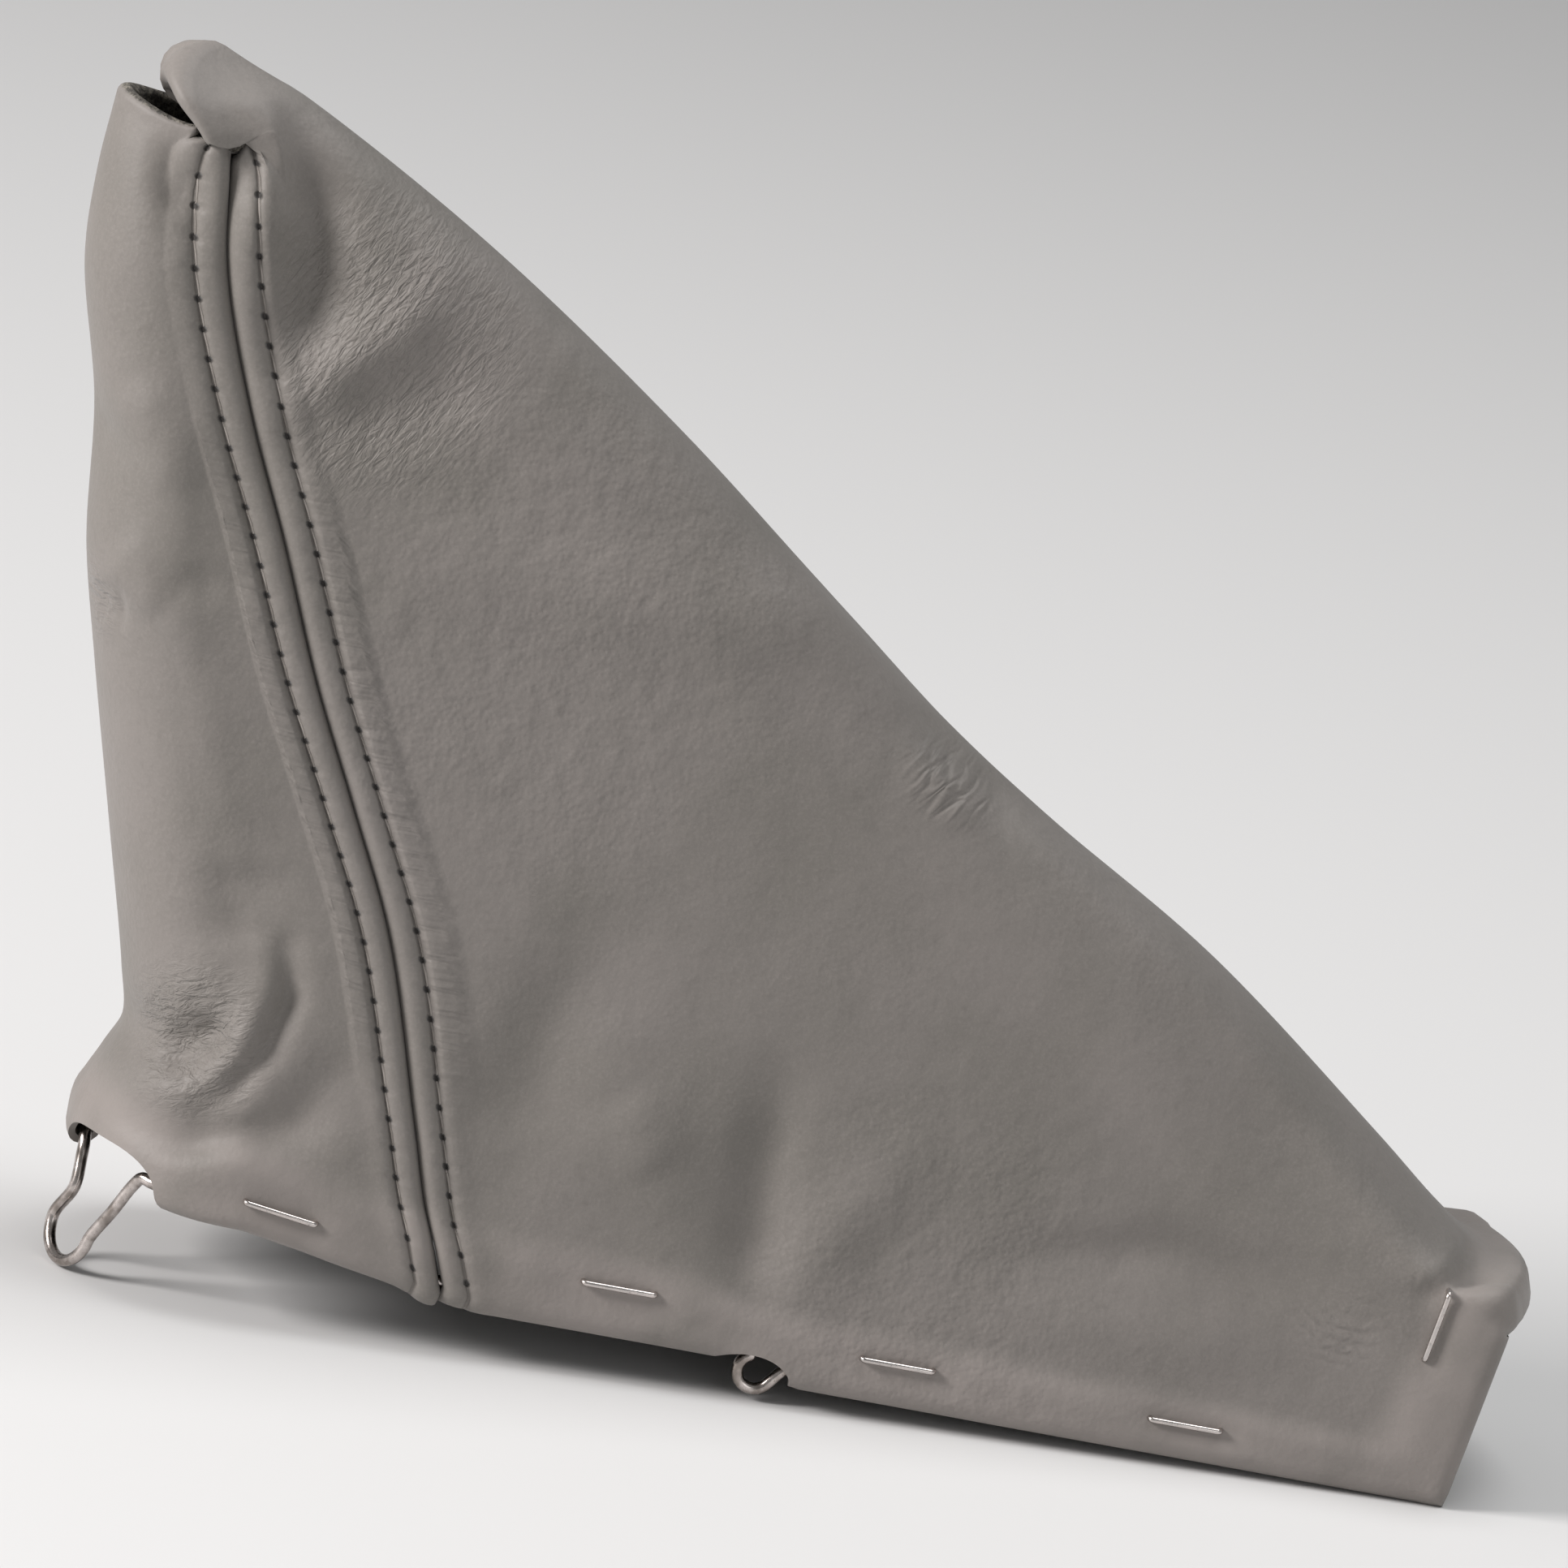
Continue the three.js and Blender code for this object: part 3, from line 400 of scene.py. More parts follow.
def bag_point(share, t):
    """Outer face of the bag before its hem, seams and folds: share round, t upwards."""
    share, t = np.broadcast_arrays(np.asarray(share, float), np.asarray(t, float))
    base = on_route(share) + outward(share) * HEM_REACH
    settle = SETTLE + SETTLE_FRONT * smooth((share - SETTLE_FROM) / SETTLE_FADE)
    lift = (base - level_point(share, 0 * t)) * ((1 - t) ** settle)[..., None]
    point = level_point(share, t) + lift
    pull = np.sin(np.pi * share) ** 2 * t**MOUTH_POWER
    point[..., 0] += MOUTH_SKEW * pull
    point[..., 2] -= MOUTH_DIP * pull
    return point


LEVELS = np.linspace(0, 1, 121)
LEAN_REACH = 18.0
HEM_HOLD, HEM_FADE = 5.0, 10.0
LOOSE_HOLD, LOOSE_FADE = 2.5, 6.0
LOOSE_UP, LOOSE_IN, LOOSE_REAR = 6.0, 5.0, 14.0
SEAM_FROM, SEAM_TO = 0.12, 0.64
FOOT_STEP, LEVEL_STEP, SHARE_STEP = 0.006, 0.01, 0.004


def find_seam():
    """Share round the bag where the seam lies, for each level."""
    low = np.full(len(LEVELS), SEAM_FROM)
    high = np.full(len(LEVELS), SEAM_TO)
    for _ in range(20):
        share = (low + high) / 2
        point = bag_point(share, LEVELS)
        seam_x = np.interp(point[:, 2], SEAM_CURVE.points[:, 1], SEAM_CURVE.points[:, 0])
        behind = point[:, 0] < seam_x
        low = np.where(behind, share, low)
        high = np.where(behind, high, share)
    return (low + high) / 2


def half_girth():
    shares = np.linspace(0, 1, 60)
    ring = bag_point(shares[:, None], LEVELS[None, :])
    return np.linalg.norm(np.diff(ring, axis=0), axis=2).sum(0)


SEAM_SHARE = find_seam()
HALF_GIRTH = half_girth()


def lifted(x, z, folds):
    """How far a set of folds lifts the leather at places on the side view."""
    height = np.zeros_like(x)
    for points, width, rise in folds:
        nearest = np.full_like(x, np.inf)
        along = np.zeros_like(x)
        total = 0.0
        for (ax, az), (bx, bz) in zip(points, points[1:]):
            dx, dz = bx - ax, bz - az
            run = np.clip(((x - ax) * dx + (z - az) * dz) / (dx * dx + dz * dz), 0, 1)
            away = np.hypot(x - ax - run * dx, z - az - run * dz)
            along = np.where(away < nearest, total + run * math.hypot(dx, dz), along)
            nearest = np.minimum(nearest, away)
            total += math.hypot(dx, dz)
        taper = mix(FOLD_END, 1, smooth(np.minimum(along, total - along) / (FOLD_TAPER * total)))
        height += rise * taper * np.exp(-((nearest / width) ** 2))
    return height


def fold_height(point, side):
    """How far the folds lift the leather at points of the near (1) or far (-1) half."""
    x, z = point[..., 0], point[..., 2]
    near_share = 0.5 + 0.5 * side * smooth(-point[..., 1] / RIDGE_HALF)
    height = near_share * lifted(x, z, FOLDS) + (1 - near_share) * lifted(x, z, FAR_FOLDS)
    return height * smooth(-point[..., 1] / RIDGE_CLEAR)


def seam_height(away):
    """Cross-section of the sewn strip: rounded at the groove, drawn in at the stitches."""
    edge = np.clip(away / SEAM_ROUND, 0, 1)
    rounded = SEAM_DEPTH * (np.sqrt(1 - (1 - edge) ** 2) - 1)
    crown = SEAM_CROWN * np.sin(np.pi * np.clip(away / STITCH_AWAY, 0, 1)) ** SEAM_CROWN_POWER
    drawn = -STITCH_DRAW * np.exp(-(((away - STITCH_AWAY) / STITCH_DRAW_WIDTH) ** 2))
    beyond = BESIDE_RISE * np.exp(-(((away - STITCH_AWAY - BESIDE_AWAY) / BESIDE_WIDTH) ** 2))
    return rounded + crown + drawn + beyond


def share_near(place):
    """Share of the base line at the point that lies nearest a place."""
    shares = np.linspace(0, 1, 2001)
    return shares[np.linalg.norm(on_route(shares) - np.array(place), axis=1).argmin()]


def corner_reach(share):
    """How far the hem stands beyond its wire where it is folded to a corner at the foot of the posts."""
    half_turn = math.radians(CORNER_HALF_TURN)
    half_arc = FRAME_BEND * half_turn
    away = np.abs(share - share_near(FOOT_CORNER)) * ROUTE_LENGTH / half_arc
    angle = half_turn * (1 - np.clip(away, 0, 1))
    reach = (FRAME_BEND + HEM_REACH) * (1 / np.cos(angle) - 1)
    return reach * CORNER_SHARE


def rail_spot(x, height):
    """Share and height of a staple on the rail."""
    z = mix(MIDDLE_RAIL[1], FRONT_RAIL, (x - MIDDLE_RAIL[0]) / (POST_X - MIDDLE_RAIL[0]))
    return share_near(rail(x, z)), height


NEAR_STAPLES = [rail_spot(x, height) for x, height in RAIL_STAPLES]
NEAR_STAPLES.append((share_near((POST_X + POST_LEAN, -FRONT_HALF, POST_STAPLE)), POST_STAPLE_HEIGHT))
FAR_STAPLES = [*NEAR_STAPLES, (share_near(rear_turn(REAR_STAPLE, REAR_HEIGHT)), REAR_STAPLE_HEIGHT)]


def dimples(foot, reach, side):
    """How far the staples draw the leather in round themselves."""
    depth = np.zeros(np.broadcast_shapes(foot[:, None].shape, reach.shape))
    for share, height in NEAR_STAPLES if side > 0 else FAR_STAPLES:
        along = np.maximum(np.abs(foot - share) * ROUTE_LENGTH - STAPLE_CROWN / 2, 0)[:, None]
        depth += np.exp(-(along**2 + (reach - height + HEM_REACH) ** 2) / DIMPLE_RADIUS**2)
    return DIMPLE_DEPTH * depth


class Wall:
    """Columns of half of a panel. Each has a distance from the seam and a part of the way to the middle."""

    def __init__(self, away, part, forward, side=1):
        self.side = side
        self.away = np.array(away, float)
        self.part = np.array(part, float)
        self.forward = forward
        path = bag_point(self.share(LEVELS[None, :]), LEVELS[None, :])
        steps = np.linalg.norm(np.diff(path, axis=1), axis=2)
        self.reach = np.concatenate([np.zeros((len(steps), 1)), np.cumsum(steps, axis=1)], axis=1)
        lap = (MOUTH_LAP if forward else BACK_LAP) * (1 - smooth(self.part / LAP_PART))
        self.total = self.reach[:, -1] - lap
        foot = self.share(np.zeros((1, 1)))[:, 0]
        self.foot = foot
        self.base, self.hem_out = on_route(foot), outward(foot)
        ahead, behind = np.minimum(foot + FOOT_STEP, 1), np.maximum(foot - FOOT_STEP, 0)
        along = unit(on_route(ahead) - on_route(behind))
        ends = (foot > 1 - 1e-6) | (foot < 1e-6)
        along[ends] = [0, 1 if forward else -1, 0]
        self.down = unit(np.cross(along, self.hem_out))
        above = self.height_share(np.full((len(foot), 1), LEAN_REACH))
        climb = bag_point(self.share(above), above)[:, 0] - path[:, 0]
        square = (climb * self.hem_out).sum(1, keepdims=True)
        self.lean = unit(climb - self.hem_out * square)
        self.corner = corner_reach(foot)
        lip_level = LEVELS[None, LIP_LEVEL:LIP_LEVEL + 1]
        lip_low = bag_point(self.share(lip_level), lip_level)[:, 0]
        self.rim = np.stack(LIP_CURVE.at(self.part), -1)
        self.lip_run = unit(self.rim - lip_low)
        high_up = smooth((self.base[:, 2] - POST_TOP + LOOSE_UP) / LOOSE_UP)
        at_crossbar = high_up * smooth((self.base[:, 1] + FRONT_HALF) / LOOSE_IN)
        self.loose = np.maximum(at_crossbar, smooth((REAR_X - self.base[:, 0]) / LOOSE_REAR))

    def share(self, t):
        """Share round the bag of every column, at heights t with one row for each column or one for all."""
        sign = 1 if self.forward else -1
        middle = 1.0 if self.forward else 0.0
        seam = np.interp(t, LEVELS, SEAM_SHARE)
        girth = np.interp(t, LEVELS, HALF_GIRTH)
        edge = seam + sign * self.away[:, None] / girth
        return mix(edge, middle, self.part[:, None])

    def height_share(self, reach):
        """Level of the bag at each reach above the hem, with one row for each column."""
        return np.stack([np.interp(r, run, LEVELS) for r, run in zip(reach, self.reach)])

    def at(self, reach):
        """Point, outward and downward directions at reaches (one row for each column) above the hem."""
        reach = np.broadcast_to(reach, (len(self.away), np.shape(reach)[-1]))
        t = self.height_share(np.minimum(reach, self.total[:, None]))
        share = self.share(t)
        free = bag_point(share, t)
        high, low = np.minimum(t + LEVEL_STEP, 1), np.maximum(t - LEVEL_STEP, 0)
        up = bag_point(self.share(high), high) - bag_point(self.share(low), low)
        ahead, behind = np.minimum(share + SHARE_STEP, 1), np.maximum(share - SHARE_STEP, 0)
        out = np.cross(bag_point(ahead, t) - bag_point(behind, t), up)
        middle = (share > 1 - 1e-6) | (share < 1e-6)
        out[middle, 1] = 0
        out = unit(out)
        hold = mix(HEM_HOLD, LOOSE_HOLD, self.loose)[:, None]
        fade = mix(HEM_FADE, LOOSE_FADE, self.loose)[:, None]
        in_hem = 1 - smooth((reach - hold) / fade)
        to_mouth = self.total[:, None] - reach
        rise = fold_height(free, self.side) * (1 - in_hem) * smooth(to_mouth / RISE_FADE)
        if self.forward:
            by_seam = 1 - smooth(self.part / LAP_OUT_PART)[:, None]
            rise = rise + MOUTH_LAP_OUT * by_seam * (1 - smooth(to_mouth / LAP_OUT_FADE))
        drawn = dimples(self.foot, reach, self.side)
        rise = rise + self.seam_rise(reach) - drawn
        free = free + out * rise[..., None]
        if self.forward:
            over = 0.5 * smooth((self.away - LIP_AWAY) / LIP_AWAY_FADE) + 0.5 * smooth(self.part / LIP_PART)
            over = over[:, None] * (1 - smooth(to_mouth / LIP_DROP))
            below = to_mouth[..., None] * self.lip_run[:, None]
            free = mix(free, self.rim[:, None] - below, over[..., None])
            turned = over * (1 - smooth((self.part - LIP_OUT_PART) / LIP_OUT_FADE))[:, None]
            out = unit(mix(out, unit(LIP_OUT), turned[..., None]))
        hem_out, down = self.hem_out[:, None], self.down[:, None]
        straight = (self.base[:, None] + hem_out * HEM_REACH) + self.lean[:, None] * reach[..., None]
        straight = straight + hem_out * (self.seam_rise(reach) - drawn)[..., None]
        blend = in_hem[..., None]
        point = mix(free, straight, blend)
        hang = self.corner
        if not self.forward:
            hang = hang + SEAM_LOBE * (1 - smooth((self.away - LOBE_FROM) / LOBE_FADE)) * (self.part == 0)
        point = point + down * (hang[:, None] * (1 - smooth(reach / HEM_FLAP)))[..., None]
        direction = unit(mix(out, hem_out, blend))
        return point, direction, np.broadcast_to(down, point.shape)

    def seam_rise(self, reach):
        """How far the sewn strip stands out, a little less in the hem."""
        near = (self.part == 0)[:, None]
        rise = np.where(near, seam_height(self.away)[:, None], 0)
        return rise * mix(SEAM_LOW, 1, smooth(reach / HEM_FLAP))


# Rows of a panel, from the flap inside the hem to the edge turned in at the mouth
FLAP_ROWS = 6
FLAP_END = 0.12
TURN_ROWS = 10
HEM_ROWS = 12
RIM_ROWS = 5
RIM_END = 0.4
RIM_TURN_IN = 0.2
RIM_STEP = 1.5
ROLL_PART = 0.55
CORNER_FROM, CORNER_FADE = 5.0, 10.0
DOUBLED_EDGE = 0.5


def half_strips(wall, wall_rows):
    """Grain and flesh points of each column, from the edge in the hem to the edge in the mouth."""
    columns = len(wall.away)
    total = wall.total[:, None]
    foot_away = np.linalg.norm(wall.base - FOOT_CORNER, axis=1)
    post_away = np.linalg.norm(wall.base - POST_CORNER, axis=1)
    corner_away = np.minimum(foot_away, post_away)
    full = np.where(wall.base[:, 0] > POST_X + POST_LEAN / 4, POST_FLAP, HEM_FLAP)
    flap = mix(CORNER_FLAP, full, smooth((corner_away - CORNER_FROM) / CORNER_FADE))

    def gap(reach):
        return mix(CHANNEL, LAYER_GAP, smooth(reach / HEM_POCKET))

    grain, flesh = [], []

    def add(outer, inner):
        grain.append(outer)
        flesh.append(inner)

    reach = flap[:, None] * np.linspace(1, FLAP_END, FLAP_ROWS)[None, :]
    point, out, _ = wall.at(reach)
    inner = (LEATHER + gap(reach))[..., None]
    add(point - out * (inner + LEATHER), point - out * inner)

    foot, out, down = wall.at(np.zeros((columns, 1)))
    middle = foot - out * (LEATHER + CHANNEL / 2)
    turn = np.linspace(math.pi, 0, TURN_ROWS)[1:-1][None, :, None]
    ray = out * np.cos(turn) + down * np.sin(turn)
    add(middle + ray * (CHANNEL / 2 + LEATHER), middle + ray * (CHANNEL / 2))

    hem_rows = np.broadcast_to(np.linspace(0, HEM_FLAP + 3, HEM_ROWS)[None, :], (columns, HEM_ROWS))
    start = HEM_FLAP + 4
    end = total - RIM_FLAP - 2
    shares = np.linspace(0, 1, wall_rows)[None, :]
    rim_rows = total - np.linspace(RIM_FLAP, RIM_END, RIM_ROWS)[None, :]
    reach = np.concatenate([hem_rows, mix(start, end, shares), rim_rows], axis=1)
    point, out, _ = wall.at(reach)
    doubled = (wall.away < STITCH_AWAY + DOUBLED_EDGE) & (wall.part == 0)
    in_wall = (reach > start - 1) & (reach < end + 1)
    thick = np.where(doubled[:, None] & in_wall, 2 * LEATHER, LEATHER)[..., None]
    add(point, point - out * thick)
    wall_range = (grain[0].shape[1] + grain[1].shape[1], reach)

    top, out, _ = wall.at(total)
    below, _, _ = wall.at(total - RIM_STEP)
    up = unit(top - below)
    rolled = smooth(wall.part / ROLL_PART) if wall.forward else 0 * wall.part
    roll = mix(LAYER_GAP, RIM_ROLL, rolled)[:, None, None]
    fold = top - out * (LEATHER + roll / 2)
    turn = np.linspace(0, math.pi, TURN_ROWS)[None, :, None]
    ray = out * np.cos(turn) + up * np.sin(turn)
    add(fold + ray * (roll / 2 + LEATHER), fold + ray * (roll / 2))

    reach = total - RIM_FLAP * np.linspace(RIM_TURN_IN, 1, RIM_ROWS)[None, :]
    point, out, _ = wall.at(reach)
    add(point - out * (2 * LEATHER + roll), point - out * (LEATHER + roll))
    return np.concatenate(grain, axis=1), np.concatenate(flesh, axis=1), wall_range


FAR_SIDE = np.array([1, -1, 1])
RAW_ROWS = 3
SEAM_SPREAD = 400.0


def metres(place):
    """A place or several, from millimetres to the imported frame's metres."""
    return (np.asarray(place) + SHIFT) * MM


def add_object(name, data):
    made = bpy.data.objects.new(name, data)
    bpy.context.scene.collection.objects.link(made)
    return made


def mesh_object(name, points, faces):
    mesh = bpy.data.meshes.new(name)
    mesh.from_pydata(metres(points).tolist(), [], [list(map(int, face)) for face in faces])
    mesh.validate()
    return add_object(name, mesh)


def panel(name, away, part, forward, wall_rows):
    """Both halves of a panel as one closed mesh with its seam distances stored in a UV map."""
    wall = Wall(away, part, forward)
    grain, flesh, (first_row, wall_reach) = half_strips(wall, wall_rows)
    far_grain, far_flesh, _ = half_strips(Wall(away, part, forward, -1), wall_rows)
    order = np.arange(len(away))
    whole = np.concatenate([order, order[:-1][::-1]])
    grain = np.concatenate([grain, (far_grain * FAR_SIDE)[:-1][::-1]])
    flesh = np.concatenate([flesh, (far_flesh * FAR_SIDE)[:-1][::-1]])
    seam_away = (wall.away + wall.part * SEAM_SPREAD)[whole]
    if not forward:
        grain, flesh, seam_away, whole = grain[::-1], flesh[::-1], seam_away[::-1], whole[::-1]
    columns, rows = grain.shape[:2]
    ring = np.concatenate([grain, flesh[:, ::-1]], axis=1)
    around = 2 * rows
    index = np.arange(columns * around).reshape(columns, around)
    following = np.roll(index, -1, axis=1)
    quads = np.stack([index[:-1], index[1:], following[1:], following[:-1]], axis=-1).reshape(-1, 4)
    caps = []
    for column, turned in ((0, False), (columns - 1, True)):
        for k in range(rows - 1):
            quad = [index[column, j] for j in (k, k + 1, around - 2 - k, around - 1 - k)]
            caps.append(quad[::-1] if turned else quad)
    piece = mesh_object(name, ring.reshape(-1, 3), [*quads, *caps])
    reach = np.zeros((len(wall.away), rows))
    reach[:, first_row:first_row + wall_reach.shape[1]] = wall_reach
    reach[:, first_row + wall_reach.shape[1]:] = wall.total[:, None]
    reach = reach[whole]
    run = np.concatenate([reach, reach[:, ::-1]], axis=1)
    is_flesh = np.tile(np.repeat([0.0, 1.0], rows), (columns, 1))
    if not forward:
        is_flesh[:, first_row + wall_reach.shape[1] + RAW_ROWS:rows] = 1
    store(piece, "seam", np.broadcast_to(seam_away[:, None], run.shape), run)
    store(piece, "side", is_flesh, np.zeros_like(run))
    return piece


def store(piece, name, u, v):
    """Keeps two values of each vertex in a UV map."""
    layer = piece.data.uv_layers.new(name=name)
    corner = np.zeros(len(piece.data.loops), np.int32)
    piece.data.loops.foreach_get("vertex_index", corner)
    values = np.stack([np.ravel(u), np.ravel(v)], -1)[corner]
    layer.data.foreach_set("uv", values.astype(np.float32).ravel())


def soften(piece, degrees=48):
    piece.data.shade_smooth()
    piece.data.set_sharp_from_angle(angle=math.radians(degrees))


def tube(name, points, diameter, sides=16):
    """A closed round wire or thread along a chain of points."""
    points = without_repeats(points)
    steps = unit(np.diff(points, axis=0))
    direction = unit(np.vstack([steps, steps[-1:]]) + np.vstack([steps[:1], steps]))
    side = np.array([1.0, 0, 0]) if abs(direction[0, 2]) > 0.8 else np.array([0, 0, 1.0])
    rings = []
    for point, forward in zip(points, direction):
        side = side - forward * (side @ forward)
        side = side / np.linalg.norm(side)
        other = np.cross(forward, side)
        a = np.linspace(0, 2 * math.pi, sides, endpoint=False)[:, None]
        rings.append(point + diameter / 2 * (side * np.cos(a) + other * np.sin(a)))
    index = np.arange(len(points) * sides).reshape(len(points), sides)
    following = np.roll(index, -1, axis=1)
    quads = np.stack([index[:-1], following[:-1], following[1:], index[1:]], axis=-1).reshape(-1, 4)
    ends = [list(index[0][::-1]), list(index[-1])]
    piece = mesh_object(name, np.concatenate(rings), [*quads, *ends])
    soften(piece, 60)
    return piece


def operator(operation, turned=False):
    """A method that puts a maths node between a signal and a value or another signal."""
    def made(self, other=0.0):
        pair = (other, self) if turned else (self, other)
        return self.finish.math(operation, *pair)
    return made


class Signal:
    """A socket of a material that takes part in ordinary arithmetic."""

    def __init__(self, finish, socket):
        self.finish = finish
        self.socket = socket

    __add__, __radd__ = operator("ADD"), operator("ADD", True)
    __sub__, __rsub__ = operator("SUBTRACT"), operator("SUBTRACT", True)
    __mul__, __rmul__ = operator("MULTIPLY"), operator("MULTIPLY", True)
    __mod__ = operator("FLOORED_MODULO")
    __abs__ = operator("ABSOLUTE")


class Finish:
    """A procedural material, built node by node."""

    def __init__(self, name):
        self.material = bpy.data.materials.new(name)
        self.material.use_nodes = True
        self.tree = self.material.node_tree
        self.tree.nodes.clear()

    def node(self, kind, settings, sockets, output=0):
        made = self.tree.nodes.new("ShaderNode" + kind)
        for key, value in settings.items():
            setattr(made, key, value)
        for key, value in sockets.items():
            if isinstance(value, Signal):
                self.tree.links.new(value.socket, made.inputs[key])
            else:
                made.inputs[key].default_value = value
        return Signal(self, made.outputs[output] if made.outputs else None)

    def math(self, operation, a, b=0.0):
        return self.node("Math", {"operation": operation}, {0: a, 1: b})

    def blend(self, factor, a, b):
        """Mixes two colours."""
        return self.node("Mix", {"data_type": "RGBA"}, {0: factor, 6: a, 7: b}, 2)

    def between(self, value, low, high):
        """0 below low, 1 above high, smooth in the middle."""
        settings = {"interpolation_type": "SMOOTHSTEP"}
        return self.node("MapRange", settings, {0: value, 1: low, 2: high})

    def noise(self, where, scale, detail=2.0, roughness=0.5, distortion=0.0):
        sockets = {"Vector": where, "Scale": scale, "Detail": detail, "Roughness": roughness}
        return self.node("TexNoise", {}, {**sockets, "Distortion": distortion})

    def cells(self, where, scale):
        return self.node("TexVoronoi", {"feature": "SMOOTH_F1"}, {"Vector": where, "Scale": scale})

    def place(self):
        return self.node("TexCoord", {}, {}, "Object")

    def split_map(self, name):
        """The two values that a UV map keeps."""
        uv = self.node("UVMap", {"uv_map": name}, {})
        parts = self.node("SeparateXYZ", {}, {0: uv})
        return parts, Signal(self, parts.socket.node.outputs[1])

    def stretched(self, where, degrees, squeeze):
        """Coordinates turned about Y, then scaled along Z."""
        turned = self.node("Mapping", {}, {"Vector": where, "Rotation": (0.0, math.radians(degrees), 0.0)})
        return self.node("Mapping", {}, {"Vector": turned, "Scale": (1.0, 1.0, squeeze)})

    def spot(self, where, centre, inner, outer):
        """1 within the inner distance of a place, 0 beyond the outer one, all in millimetres."""
        away = self.node("VectorMath", {"operation": "DISTANCE"}, {0: where, 1: metres(centre)}, "Value")
        return 1 - self.between(away, inner * MM, outer * MM)

    def bump(self, height, distance, strength=1.0):
        return self.node("Bump", {}, {"Height": height, "Distance": distance, "Strength": strength})

    def surface(self, **sockets):
        shader = self.node("BsdfPrincipled", {}, {k.replace("_", " "): v for k, v in sockets.items()})
        self.node("OutputMaterial", {}, {0: shader})
        return self.material


def srgb(red, green, blue):
    """A colour given in 0-255 screen values, as the linear values that a shader takes."""
    def linear(v):
        v /= 255
        return v / 12.92 if v < 0.04045 else ((v + 0.055) / 1.055) ** 2.4
    return (linear(red), linear(green), linear(blue), 1.0)


